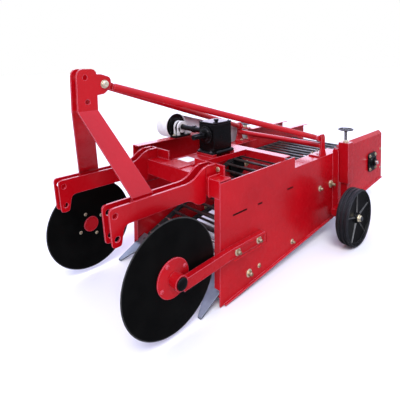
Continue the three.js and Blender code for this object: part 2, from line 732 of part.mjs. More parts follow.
function crossShaft() {
  const start = GEARBOX_X - GEARBOX_WIDTH / 2 + 20;
  const clutchX = -(PLATE_OUTER + MOVING);
  const shaft = rodX([start, clutchX - 40], GEARBOX_Y, SHAFT_Z, CROSS_SHAFT_RADIUS);
  const clutch = rodX([clutchX, clutchX - 22], GEARBOX_Y, SHAFT_Z, CLUTCH_RADIUS, 32);
  const hub = rodX([clutchX - 10, clutchX - 44], GEARBOX_Y, SHAFT_Z, 44);
  return join(shaft, clutch, hub);
}

function shaftBearing() {
  const x = [BEARING_X - BEARING_WIDTH / 2, BEARING_X + BEARING_WIDTH / 2];
  const seat = DRIVE_SIDE_TOP + GAP;
  const shape = outline([
    [GEARBOX_Y - 78, seat],
    [GEARBOX_Y + 78, seat],
    [GEARBOX_Y + 78, seat + 16, 6],
    [GEARBOX_Y + 46, seat + 20],
    [GEARBOX_Y + BEARING_RADIUS, SHAFT_Z, 8],
    [GEARBOX_Y + 22, SHAFT_Z + BEARING_RADIUS, 18],
    [GEARBOX_Y - 22, SHAFT_Z + BEARING_RADIUS, 18],
    [GEARBOX_Y - BEARING_RADIUS, SHAFT_Z, 8],
    [GEARBOX_Y - 46, seat + 20],
    [GEARBOX_Y - 78, seat + 16, 6],
  ]);
  const block = alongX(shape, x);
  return block.subtract(
    rodX([x[0] - 5, x[1] + 5], GEARBOX_Y, SHAFT_Z, bore(CROSS_SHAFT_RADIUS, RUNNING)),
  );
}

function drumGuard() {
  const near = -(PLATE_OUTER + GAP);
  const far = near - DRUM_DEPTH;
  const outer = rodX([near, far], GEARBOX_Y, SHAFT_Z, DRUM_RADIUS, 32);
  const inner = rodX([near + 5, far + DRUM_WALL], GEARBOX_Y, SHAFT_Z, DRUM_RADIUS - DRUM_WALL, 32);
  return outer.subtract(inner);
}

function chainGuard() {
  const near = -(PLATE_OUTER + GAP);
  const front = { y: GEARBOX_Y, z: SHAFT_Z, radius: GUARD_FRONT_RADIUS };
  const rear = { y: DRIVE_Y, z: DRIVE_Z, radius: GUARD_REAR_RADIUS };
  const inset = (wheel) => ({ ...wheel, radius: wheel.radius - GUARD_WALL });
  const outer = alongX(loopShape(rear, front), [near, near - GUARD_DEPTH], 16);
  const hollow = [near + 5, near - GUARD_DEPTH + GUARD_WALL];
  const inner = alongX(loopShape(inset(rear), inset(front)), hollow, 16);
  const drum = rodX([near + 10, near - DRUM_DEPTH - 10], GEARBOX_Y, SHAFT_Z, DRUM_RADIUS + 1.5, 32);
  return outer.subtract(inner).subtract(drum);
}

// ---------------------------------------------------------------- rod web
/** The web's path at a distance outside its three pairs of wheels. */
function webPath(grow) {
  return loopShape(
    { y: DRIVE_Y, z: DRIVE_Z, radius: DRIVE_RADIUS + grow },
    { y: IDLER_Y, z: IDLER_Z, radius: IDLER_RADIUS + grow },
    { y: FRONT_ROLLER_Y, z: FRONT_ROLLER_Z, radius: FRONT_ROLLER_RADIUS + grow },
  );
}

function webRodPlaces() {
  const path = webPath(GAP + BELT_THICKNESS / 2);
  const count = Math.round(path.getLength() / ROD_PITCH);
  return path.getSpacedPoints(count).slice(0, count);
}

function conveyorWeb() {
  const ring = webPath(BELT_OUTER);
  ring.holes.push(new THREE.Path(webPath(GAP).getPoints(10)));
  const half = BELT_WIDTH / 2;
  const belts = [1, -1].map((side) => alongX(ring, across(side, BELT_X - half, BELT_X + half), 10));
  const rods = webRodPlaces().map(({ x: y, y: z }) => rodX([-BELT_X, BELT_X], y, z, ROD_RADIUS, 6));
  return join(...belts, ...rods);
}

function frontRoller() {
  const half = PLATE_INNER - GAP;
  const barrel = PLATE_INNER - WEB_SIDE_PLAY - 4;
  return join(
    rodX([-half, half], FRONT_ROLLER_Y, FRONT_ROLLER_Z, 13, 12),
    rodX([-barrel, barrel], FRONT_ROLLER_Y, FRONT_ROLLER_Z, FRONT_ROLLER_RADIUS, 20),
  );
}

function driveShaft() {
  const left = PLATE_OUTER + 58;
  const right = -(PLATE_OUTER + 20);
  const pieces = [rodX([right, left], DRIVE_Y, DRIVE_Z, DRIVE_SHAFT_RADIUS)];
  return join(...pieces, ...webWheels(DRIVE_Y, DRIVE_Z, DRIVE_RADIUS));
}

/** Three narrow wheels on one shaft: one under each belt and one under the rods' middle. */
function webWheels(y, z, radius) {
  return [-BELT_X, 0, BELT_X].map((x) => rodX([x - WHEEL_DISC / 2, x + WHEEL_DISC / 2], y, z, radius, 28));
}

function idler() {
  const half = PLATE_INNER - GAP;
  return join(rodX([-half, half], IDLER_Y, IDLER_Z, 13, 12), ...webWheels(IDLER_Y, IDLER_Z, IDLER_RADIUS));
}

function rearBearing() {
  const x = [PLATE_OUTER + GAP, PLATE_OUTER + GAP + REAR_BEARING_PLATE];
  const half = REAR_BEARING / 2;
  const flange = alongX(
    outline([
      [DRIVE_Y - half, DRIVE_Z - half, 20],
      [DRIVE_Y + half, DRIVE_Z - half, 20],
      [DRIVE_Y + half, DRIVE_Z + half, 20],
      [DRIVE_Y - half, DRIVE_Z + half, 20],
    ]),
    x,
  );
  const boss = rodX([x[0] + 4, x[1] + 28], DRIVE_Y, DRIVE_Z, REAR_BEARING_BOSS);
  const shaftHole = rodX([x[0] - 5, x[1] + 40], DRIVE_Y, DRIVE_Z, bore(DRIVE_SHAFT_RADIUS));
  return join(flange, boss).subtract(shaftHole);
}

// ---------------------------------------------------------------- shares
/** Height of the underside of the shares at y. */
const shareUnder = (y) => (y - SHARE_TIP_Y) * SHARE_SLOPE;

/** An XY outline raised on to the slope of the shares, between two heights above their underside. */
function onShareSlope(shape, low, high) {
  const flat = alongZ(shape, [low, high]);
  const mesh = geometryOf(flat);
  const position = mesh.attributes.position;
  for (let i = 0; i < position.count; i += 1) {
    position.setZ(i, position.getZ(i) + shareUnder(position.getY(i)));
  }
  return solid(mesh);
}

function share(number) {
  const clear = 2 * (PLATE_INNER - SHARE_PLAY / 2);
  const pitch = clear / SHARE_COUNT;
  const left = -clear / 2 + number * pitch + SHARE_PLAY / 2;
  const right = left + pitch - SHARE_PLAY;
  const middle = (left + right) / 2;
  const onEdge = number === 0 ? left : right;
  const half = SHARE_TIP_WIDTH / 2;
  const outermost = number === 0 || number === SHARE_COUNT - 1;
  const inwards = number === 0 ? 1 : -1;
  const corners = outermost
    ? [
        [onEdge, SHARE_TIP_Y],
        [onEdge + inwards * SHARE_TIP_WIDTH, SHARE_TIP_Y],
        [onEdge + inwards * (pitch - SHARE_PLAY) * 0.55, SHARE_KNEE_Y],
        [onEdge + inwards * (pitch - SHARE_PLAY), SHARE_KNEE_Y + 40],
        [onEdge + inwards * (pitch - SHARE_PLAY), SHARE_REAR_Y],
        [onEdge, SHARE_REAR_Y],
      ]
    : [
        [middle - half, SHARE_TIP_Y],
        [middle + half, SHARE_TIP_Y],
        [right, SHARE_KNEE_Y],
        [right, SHARE_REAR_Y],
        [left, SHARE_REAR_Y],
        [left, SHARE_KNEE_Y],
      ];
  return onShareSlope(outline(corners), 0, SHARE_THICKNESS);
}

function shareBeam() {
  const half = PLATE_INNER - GAP;
  const shape = outline([
    [-half, SHARE_BEAM_FRONT],
    [half, SHARE_BEAM_FRONT],
    [half, SHARE_REAR_Y],
    [-half, SHARE_REAR_Y],
  ]);
  return onShareSlope(shape, -GAP - SHARE_BEAM_THICKNESS, -GAP);
}

// ---------------------------------------------------------------- cutting discs
function cuttingDisc(side) {
  const half = DISC_THICKNESS / 2;
  const profile = [
    [0, -half],
    [DISC_RADIUS - DISC_EDGE, -half],
    [DISC_RADIUS, -0.6],
    [DISC_RADIUS, 0.6],
    [DISC_RADIUS - DISC_EDGE, half],
    [0, half],
  ].map(([radius, x]) => [radius, x + side * DISC_X]);
  return turned(profile, 0, DISC_Z, 48);
}

function discHub(side) {
  const face = DISC_X + DISC_THICKNESS / 2 + GAP;
  const flange = rodX(across(side, face, face + HUB_FLANGE_THICKNESS), 0, DISC_Z, HUB_FLANGE_RADIUS, 32);
  const boss = rodX(across(side, face + 2, face + HUB_FLANGE_THICKNESS + 5), 0, DISC_Z, HOUSING_RADIUS - 4);
  const end = face + HUB_FLANGE_THICKNESS + MOVING + HOUSING_LENGTH - 12;
  const spindle = rodX(across(side, face + 2, end), 0, DISC_Z, SPINDLE_RADIUS);
  return join(flange, boss, spindle);
}

function discArm(side) {
  const plate = PLATE_OUTER + GAP;
  const housingStart = DISC_X + DISC_THICKNESS / 2 + GAP + HUB_FLANGE_THICKNESS + MOVING;
  const housingEnd = housingStart + HOUSING_LENGTH;
  const hubInner = housingStart + 12;
  const shape = outline([
    [plate, ARM_REAR],
    [plate, ARM_BEND_Y],
    [hubInner, ARM_HUB_Y],
    [hubInner + ARM_DEPTH, ARM_HUB_Y],
    [plate + ARM_DEPTH, ARM_BEND_Y],
    [plate + ARM_DEPTH, ARM_REAR],
  ].map(([x, y]) => [side * x, y]));
  const bar = alongZ(shape, [ARM_Z - ARM_HEIGHT / 2, ARM_Z + ARM_HEIGHT / 2]);
  const housing = rodX(across(side, housingStart, housingEnd), 0, DISC_Z, HOUSING_RADIUS);
  const seat = rodX(
    across(side, housingStart - 5, housingEnd - 10), 0, DISC_Z, bore(SPINDLE_RADIUS, RUNNING));
  return join(bar, housing).subtract(seat);
}

// ---------------------------------------------------------------- gauge wheels
function tyre(side) {
  const inner = TYRE_INNER_X;
  const outer = TYRE_INNER_X + TYRE_WIDTH;
  const profile = [
    [RIM_RADIUS, inner + 8],
    [RIM_RADIUS + 3, inner],
    [WHEEL_RADIUS - 5, inner + 3],
    [WHEEL_RADIUS, inner + 12],
    [WHEEL_RADIUS, outer - 12],
    [WHEEL_RADIUS - 5, outer - 3],
    [RIM_RADIUS + 3, outer],
    [RIM_RADIUS, outer - 8],
    [RIM_RADIUS, inner + 8],
  ].map(([radius, x]) => [radius, side * x]);
  return turned(profile, WHEEL_Y, WHEEL_RADIUS, WHEEL_SIDES);
}

function wheelRim(side) {
  const inner = TYRE_INNER_X + 10;
  const outer = TYRE_INNER_X + TYRE_WIDTH - 10;
  const edge = RIM_RADIUS - GAP;
  const dish = outer - 14;
  const hole = bore(AXLE_RADIUS, RUNNING);
  const profile = [
    [hole, inner - 4],
    [HUB_RADIUS, inner - 4],
    [HUB_RADIUS, dish - 8],
    [edge - 8, dish - 8],
    [edge - 8, inner],
    [edge, inner],
    [edge, outer],
    [edge - 8, outer],
    [edge - 8, dish],
    [HUB_RADIUS, dish],
    [HUB_RADIUS, outer - 6],
    [hole, outer - 6],
    [hole, inner - 4],
  ].map(([radius, x]) => [radius, side * x]);
  return turned(profile, WHEEL_Y, WHEEL_RADIUS, WHEEL_SIDES);
}

function wheelLeg(side) {
  const half = LEG_SIZE / 2;
  const x = [side * (LEG_X - half), side * (LEG_X + half)];
  const z = [WHEEL_RADIUS - half, LEG_TOP];
  const tube = box(x, [LEG_Y - half, LEG_Y + half], z);
  const link = box(x, [WHEEL_Y - half, LEG_Y], [z[0], WHEEL_RADIUS + half]);
  const axleEnd = TYRE_INNER_X + TYRE_WIDTH + AXLE_PROUD;
  const axle = rodX(across(side, LEG_X, axleEnd), WHEEL_Y, WHEEL_RADIUS, AXLE_RADIUS);
  const screwSides = 12;
  const hole = bore(SCREW_RADIUS, RUNNING, screwSides);
  const boreFloor = SCREW_BOTTOM - LEG_RAISE - 8;
  const screwFoot = [side * LEG_X, LEG_Y, boreFloor];
  const screwHead = [side * LEG_X, LEG_Y, LEG_TOP + 5];
  const screwHole = rod(screwFoot, screwHead, hole, screwSides);
  return join(tube, link, axle).subtract(screwHole);
}

function legGuide(side) {
  const inner = LEG_SIZE / 2 + MOVING;
  const outer = inner + GUIDE_WALL;
  const x = (reach) => [side * (LEG_X - reach), side * (LEG_X + reach)];
  const y = (reach) => [LEG_Y - reach, LEG_Y + reach];
  const tube = box(x(outer), y(outer), [GUIDE_BOTTOM, GUIDE_TOP]);
  const hollow = box(x(inner), y(inner), [GUIDE_BOTTOM - 5, GUIDE_TOP - 10]);
  const bracketX = across(side, PLATE_OUTER + GAP, LEG_X - outer + 1);
  const finTop = side > 0 ? GUIDE_FIN_TOP : GUIDE_BOTTOM + 80; // the chain guard passes above on the right
  const fin = (end) => [LEG_Y + end * (outer - GUIDE_FIN), LEG_Y + end * outer];
  const brackets = [-1, 1].map((end) => box(bracketX, fin(end), [GUIDE_BOTTOM + 4, finTop]));
  const screwHole = rod([side * LEG_X, LEG_Y, GUIDE_TOP - 20], [side * LEG_X, LEG_Y, GUIDE_TOP + 5],
    bore(SCREW_RADIUS, GAP, 12), 12);
  return join(tube.subtract(hollow), ...brackets).subtract(screwHole);
}

function handwheel(side) {
  const x = side * LEG_X;
  const height = HANDWHEEL_Z - (side > 0 ? 0 : HANDWHEEL_DROP);
  const screw = rod([x, LEG_Y, SCREW_BOTTOM], [x, LEG_Y, height + 14], SCREW_RADIUS, 12);
  const collar = rod([x, LEG_Y, GUIDE_TOP + GAP], [x, LEG_Y, GUIDE_TOP + 16], SCREW_RADIUS + 9, 16);
  const hub = rod([x, LEG_Y, height - 14], [x, LEG_Y, height + 10], SCREW_RADIUS + 8, 16);
  const ring = new THREE.TorusGeometry(HANDWHEEL_RADIUS, HANDWHEEL_RIM, 6, 20);
  ring.translate(x, LEG_Y, height);
  const spokes = [0, 1, 2].map((third) => {
    const angle = (third * 2 * Math.PI) / 3;
    const end = [x + HANDWHEEL_RADIUS * Math.cos(angle), LEG_Y + HANDWHEEL_RADIUS * Math.sin(angle)];
    return rod([x, LEG_Y, height], [...end, height], 5, 8);
  });
  return join(screw, collar, hub, solid(ring), ...spokes);
}

// ---------------------------------------------------------------- assembly
bothSides((side, word) => {
  addPart(`${word}_side_plate`, sidePlate(side), redPaint());
  addPart(`${word}_deck_rail`, deckRail(side), redPaint());
  addPart(`${word}_outer_hitch_plate`, hitchPlate(side, false), redPaint());
  addPart(`${word}_inner_hitch_plate`, hitchPlate(side, true), redPaint());
  addPart(`${word}_mast_bar`, mastBar(side), redPaint());
  addPart(`${word}_brace`, brace(side), redPaint());
  addPart(`${word}_brace_bracket`, braceBracket(side), redPaint());
  addPart(`${word}_disc_arm`, discArm(side), redPaint());
  addPart(`${word}_disc_hub`, discHub(side), redPaint());
  addPart(`${word}_cutting_disc`, cuttingDisc(side), blackPaint());
  addPart(`${word}_leg_guide`, legGuide(side), redPaint());
  addPart(`${word}_wheel_leg`, wheelLeg(side), redPaint());
  addPart(`${word}_handwheel`, handwheel(side), brightSteel());
  addPart(`${word}_tyre`, tyre(side), blackRubber());
  addPart(`${word}_wheel_rim`, wheelRim(side), greyPaint());
});
addPart("front_beam", frontBeam(), redPaint());
addPart("gearbox_deck", deck(), redPaint());
addPart("rear_cross_bar", crossBar(), redPaint());
addPart("mast_pin", topPin(), zincPlate());
addPart("cross_tube", crossTube(), redPaint());
addPart("gearbox", gearbox(), blackPaint());
addPart("pto_shaft", ptoShaft(), brightSteel());
addPart("cross_shaft", crossShaft(), brightSteel());
addPart("shaft_bearing", shaftBearing(), greyPaint());
addPart("drum_guard", drumGuard(), whitePaint());
addPart("chain_guard", chainGuard(), greyPaint());
addPart("conveyor_web", conveyorWeb(), brightSteel());
addPart("front_roller", frontRoller(), blackPaint());
addPart("web_drive_shaft", driveShaft(), brightSteel());
addPart("web_idler", idler(), blackPaint());
addPart("rear_bearing", rearBearing(), blackPaint());
addPart("share_beam", shareBeam(), redPaint());
for (let number = 0; number < SHARE_COUNT; number += 1) {
  addPart(`share_${number + 1}`, share(number), shareSteel());
}

// The origin is the middle of the machine's box, on the floor.
const extent = new THREE.Box3().setFromObject(machine);
machine.position.set(
  -(extent.min.x + extent.max.x) / 2,
  -(extent.min.y + extent.max.y) / 2,
  -extent.min.z,
);

export default machine;
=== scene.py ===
"""Looks for a tractor-mounted potato digger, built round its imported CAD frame.

Metres, with +X to the machine's left, +Y to its rear and +Z up.
"""
import json
from math import acos, atan2, cos, dist, hypot, radians, sin, tau as TAU

import bmesh
import bpy
from mathutils import Matrix, Vector


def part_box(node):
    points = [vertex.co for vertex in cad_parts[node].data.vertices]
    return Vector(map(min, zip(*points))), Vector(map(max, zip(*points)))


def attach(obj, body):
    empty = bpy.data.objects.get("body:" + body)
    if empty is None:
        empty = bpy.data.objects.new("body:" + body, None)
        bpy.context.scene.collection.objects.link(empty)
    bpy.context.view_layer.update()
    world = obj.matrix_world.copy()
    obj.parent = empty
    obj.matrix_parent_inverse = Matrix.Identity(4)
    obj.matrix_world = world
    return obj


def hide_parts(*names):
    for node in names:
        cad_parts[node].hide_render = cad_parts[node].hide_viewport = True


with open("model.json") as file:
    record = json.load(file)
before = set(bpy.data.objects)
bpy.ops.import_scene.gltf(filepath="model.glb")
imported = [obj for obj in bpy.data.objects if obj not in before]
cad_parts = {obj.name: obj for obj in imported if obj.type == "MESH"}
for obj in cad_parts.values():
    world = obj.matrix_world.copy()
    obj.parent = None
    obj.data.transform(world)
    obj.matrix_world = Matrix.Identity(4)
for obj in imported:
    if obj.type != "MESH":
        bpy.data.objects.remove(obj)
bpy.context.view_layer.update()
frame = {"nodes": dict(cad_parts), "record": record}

X, Y, Z = Vector((1, 0, 0)), Vector((0, 1, 0)), Vector((0, 0, 1))
SIDES = ((1, "left"), (-1, "right"))
PLATE_FACE = 0.410  # outer face of each side plate, from the middle
LABEL_Y = (0.115, 0.205)  # the blank label's front and rear, behind the deck's front edge


def xyz(x, y, z):
    """A vector of three numbers."""
    return Vector((x, y, z))


def centre(name):
    """The middle of a CAD node."""
    low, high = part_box(name)
    return (low + high) / 2


DISC = centre("left_cutting_disc")
DISC_Y = DISC.y


def at(x, y, z):
    """A place from millimetres: across, behind the discs' axis, above the floor."""
    return xyz(x / 1000, y / 1000 + DISC_Y, z / 1000)


# ------------------------------ camera
CAMERA_PLACE = (1699.6, -1018.3, 1323.4)  # millimetres, as for at()
CAMERA_AZIMUTH, CAMERA_ELEVATION, CAMERA_ROLL = 46.9009, 3.8871, -1.2034  # degrees
CAMERA_LENS, CAMERA_SHIFT_X, CAMERA_SHIFT_Y = 32.745, 0.0044, -0.2877
CLIP_END = 100


def add_camera():
    """The camera at the photograph's viewing angle."""
    az, el, roll = (radians(v) for v in (CAMERA_AZIMUTH, CAMERA_ELEVATION, CAMERA_ROLL))
    back = xyz(sin(az) * cos(el), -cos(az) * cos(el), sin(el))
    right = xyz(cos(az), sin(az), 0)
    up = back.cross(right)
    right, up = right * cos(roll) + up * sin(roll), up * cos(roll) - right * sin(roll)
    data = bpy.data.cameras.new("camera")
    data.lens = CAMERA_LENS
    data.shift_x = CAMERA_SHIFT_X
    data.shift_y = CAMERA_SHIFT_Y
    data.clip_end = CLIP_END
    camera = bpy.data.objects.new("camera", data)
    bpy.context.scene.collection.objects.link(camera)
    turn = Matrix((right, up, back)).transposed().to_4x4()
    camera.matrix_world = Matrix.Translation(at(*CAMERA_PLACE)) @ turn
    bpy.context.scene.camera = camera


# ------------------------------ materials
EDGE_COSINES = (0.72, 0.985)  # between bevelled and true normal: a full edge, and a flat face


def node(tree, kind, **values):
    """Adds a shader node; each value goes to its input of that name, or else to its setting."""
    made = tree.nodes.new("ShaderNode" + kind)
    for name, value in values.items():
        if name in made.inputs:
            made.inputs[name].default_value = value
        else:
            setattr(made, name, value)
    return made


def noise(tree, scale, detail=3.0, stretch=None):
    """Noise in the object's own coordinates, stretched along its axes if asked."""
    coords = node(tree, "TexCoord")
    out = coords.outputs["Object"]
    if stretch:
        mapping = node(tree, "Mapping", Scale=stretch)
        tree.links.new(out, mapping.inputs["Vector"])
        out = mapping.outputs["Vector"]
    made = node(tree, "TexNoise", Scale=scale, Detail=detail)
    tree.links.new(out, made.inputs["Vector"])
    return made.outputs["Fac"]


def ramp(tree, source, stops):
    """Colours, or grey levels, at places along a value."""
    made = node(tree, "ValToRGB")
    points = made.color_ramp.elements
    while len(points) < len(stops):
        points.new(0.5)
    for point, (place, colour) in zip(points, stops):
        point.position = place
        point.color = colour if isinstance(colour, tuple) else (colour, colour, colour, 1)
    tree.links.new(source, made.inputs["Fac"])
    return made.outputs["Color"]


def edge_highlight_mask(tree, radius):
    """White along the edges of a shape and black on its faces, to mask painted edge highlights,
    and the bevelled normal.
    """
    bevel = node(tree, "Bevel", Radius=radius, samples=4)
    geometry = node(tree, "NewGeometry")
    dot = node(tree, "VectorMath", operation="DOT_PRODUCT")
    tree.links.new(bevel.outputs["Normal"], dot.inputs[0])
    tree.links.new(geometry.outputs["Normal"], dot.inputs[1])
    stops = ((EDGE_COSINES[0], 1.0), (EDGE_COSINES[1], 0.0))
    return ramp(tree, dot.outputs["Value"], stops), bevel.outputs["Normal"]


ROUGH_SPREAD = 0.08


def surface(name, colour, rough, metal=0.0, tone=0.12, tone_scale=6, edge=None, edge_radius=0.003,
            grain=None, grain_scale=400, grain_depth=0.0, coat=0.0, coat_rough=0.08, specular=0.5):
    """A principled material with broad tone changes, fine grain and optional lighter edges, which
    are painted edge highlights.
    """
    material = bpy.data.materials.new(name)
    material.use_nodes = True
    tree = material.node_tree
    tree.nodes.clear()
    link = tree.links.new
    constants = {"Metallic": metal, "Coat Weight": coat, "Coat Roughness": coat_rough,
                 "Specular IOR Level": specular}
    shader = node(tree, "BsdfPrincipled", **constants)
    output = node(tree, "OutputMaterial")
    link(shader.outputs["BSDF"], output.inputs["Surface"])
    dark = tuple(c * (1 - tone) for c in colour) + (1,)
    light = tuple(min(1, c * (1 + tone)) for c in colour) + (1,)
    tint = ramp(tree, noise(tree, tone_scale), ((0.35, dark), (0.65, light)))
    normal = None
    if edge:
        # the edge colour is a painted highlight, mixed in along the edges
        mask, normal = edge_highlight_mask(tree, edge_radius)
        mix = node(tree, "Mix", data_type="RGBA")
        link(mask, mix.inputs["Factor"])
        link(tint, mix.inputs[6])  # its colours A and B, and its colour result
        mix.inputs[7].default_value = edge + (1,)
        tint = mix.outputs[2]
    link(tint, shader.inputs["Base Color"])
    low, high = max(0.02, rough - ROUGH_SPREAD), min(1, rough + ROUGH_SPREAD)
    rough_map = ramp(tree, noise(tree, tone_scale * 5, 5), ((0.3, low), (0.7, high)))
    link(rough_map, shader.inputs["Roughness"])
    if grain_depth:
        bump = node(tree, "Bump", Strength=0.5, Distance=grain_depth)
        link(noise(tree, grain_scale, 4, grain), bump.inputs["Height"])
        if normal:
            link(normal, bump.inputs["Normal"])
        normal = bump.outputs["Normal"]
    if normal:
        link(normal, shader.inputs["Normal"])
    return material


PAINT_RED = (0.44, 0.0018, 0.006)
# pinkish white along the red paint's edges: a painted highlight
EDGE_HIGHLIGHT_PINK = (0.95, 0.28, 0.36)
RED = surface(
    "red_gloss_paint", PAINT_RED, 0.27, tone=0.1, tone_scale=3, edge=EDGE_HIGHLIGHT_PINK, edge_radius=0.0035,
    coat=0.85, coat_rough=0.2, grain_scale=260, grain_depth=0.0003, specular=0.05)
RED_WELD = surface(
    "red_paint_on_weld", PAINT_RED, 0.3, tone=0.2, tone_scale=60, coat=0.1, grain_scale=500,
    grain_depth=0.001, specular=0.3)
BLACK = surface(
    "black_gloss_paint", (0.0035, 0.0035, 0.0035), 0.2, tone=0.3, edge=(0.1, 0.1, 0.1),
    edge_radius=0.0015, grain_scale=300, grain_depth=0.0003, specular=0.2)
DISC_BLACK = surface(
    "black_disc_paint", (0.0022, 0.0022, 0.0018), 0.4, tone=0.35, tone_scale=9, grain_scale=180,
    grain_depth=0.0003, specular=0.08)
RIM_STEEL = surface(
    "ground_disc_edge", (0.06, 0.06, 0.055), 0.4, metal=0.6, tone=0.25, tone_scale=40)
STEEL = surface(
    "bright_rod_steel", (0.78, 0.76, 0.7), 0.24, metal=0.85, tone=0.15, tone_scale=14,
    grain=(0.05, 1, 1), grain_scale=500, grain_depth=0.0003)
# dark rod steel: painted shade of the web's inside, for the rods behind the front ones
SHADED_ROD_STEEL = surface(
    "painted_shade_rod_steel", (0.085, 0.085, 0.08), 0.32, metal=0.6, tone=0.3, tone_scale=16, coat=0.5,
    grain=(0.05, 1, 1), grain_scale=500, grain_depth=0.0003)
DARK_STEEL = surface("dull_steel", (0.16, 0.165, 0.175), 0.42, metal=0.9, tone=0.25, tone_scale=20)
BLUE_STEEL = surface(
    "rolled_blade_steel", (0.26, 0.29, 0.33), 0.36, metal=0.75, tone=0.22, tone_scale=12,
    edge=(0.7, 0.73, 0.78), edge_radius=0.002, grain=(1, 0.15, 1), grain_scale=260,
    grain_depth=0.0006)
ZINC = surface(
    "yellow_zinc", (0.78, 0.7, 0.5), 0.34, metal=0.6, tone=0.22, tone_scale=70,
    edge=(0.92, 0.88, 0.72), edge_radius=0.0012)
WORN_ZINC = surface(
    "handled_zinc", (0.34, 0.25, 0.13), 0.4, metal=0.7, tone=0.3, tone_scale=90,
    edge=(0.9, 0.8, 0.6), edge_radius=0.0016)
GREY_STEEL = surface(
    "grey_screw_steel", (0.13, 0.13, 0.135), 0.4, metal=0.8, tone=0.2, tone_scale=40,
    edge=(0.6, 0.6, 0.6), edge_radius=0.002)
RUBBER = surface(
    "tyre_rubber", (0.008, 0.008, 0.009), 0.45, tone=0.3, tone_scale=14, edge=(0.1, 0.105, 0.12),
    grain_scale=500, grain_depth=0.0006, specular=0.3)
RIM_GREY = surface(
    "black_rim_paint", (0.004, 0.0042, 0.004), 0.34, tone=0.25, tone_scale=16,
    edge=(0.2, 0.2, 0.21), edge_radius=0.0015, grain_scale=300, grain_depth=0.0004, specular=0.06)
SPOKE = surface("bare_spoke_steel", (0.2, 0.2, 0.19), 0.35, metal=0.7, tone=0.2, tone_scale=40)
BELT = surface(
    "black_belt", (0.012, 0.012, 0.012), 0.75, tone=0.3, tone_scale=30, grain_scale=300,
    grain_depth=0.0008)
WHITE = surface(
    "white_paint", (0.78, 0.77, 0.74), 0.35, tone=0.07, tone_scale=24, edge=(0.9, 0.9, 0.9),
    grain_scale=240, grain_depth=0.0005, coat=0.2)
GREY = surface(
    "light_grey_paint", (0.6, 0.61, 0.62), 0.4, tone=0.08, tone_scale=10, edge=(0.85, 0.85, 0.86),
    grain_scale=240, grain_depth=0.0004)
PALE = surface("blank_label", (0.86, 0.85, 0.85), 0.4, tone=0.03, tone_scale=20)


# ------------------------------ building
SHARP_ANGLE = radians(38)  # edges turning more than this stay sharp
BEVEL_ANGLE = radians(35)
WELD_PITCH = 0.0045
COLLAR_BEAD = 0.003


def extent(name):
    """A CAD node's lowest and highest corners, and its middle."""
    low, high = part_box(name)
    return low, high, (low + high) / 2


def across(name, side):
    """The x of a CAD node's inner and outer faces, on one side of the machine."""
    low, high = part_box(name)
    return (low.x, high.x) if side > 0 else (high.x, low.x)


def circle(middle, radius, count, u=Y, v=Z, turn=0.0):
    """Evenly spaced points round a middle, in the plane of u and v."""
    angles = [turn + TAU * i / count for i in range(count)]
    return [middle + radius * (u * cos(angle) + v * sin(angle)) for angle in angles]


def arc(u, v, radius, start, end, steps):
    """Points on an arc in a plane, angles in degrees."""
    angles = [radians(start + (end - start) * i / steps) for i in range(steps + 1)]
    return [(u + radius * cos(angle), v + radius * sin(angle)) for angle in angles]


def thread(root, crest, length, turns, rise):
    """A lathe profile of a threaded bar, each crest a rise beyond its root."""
    profile = [(0, 0)]
    for i in range(turns):
        along = length * i / turns
        profile += [(root, along), (crest, along + rise)]
    return profile + [(root, length), (0, length)]


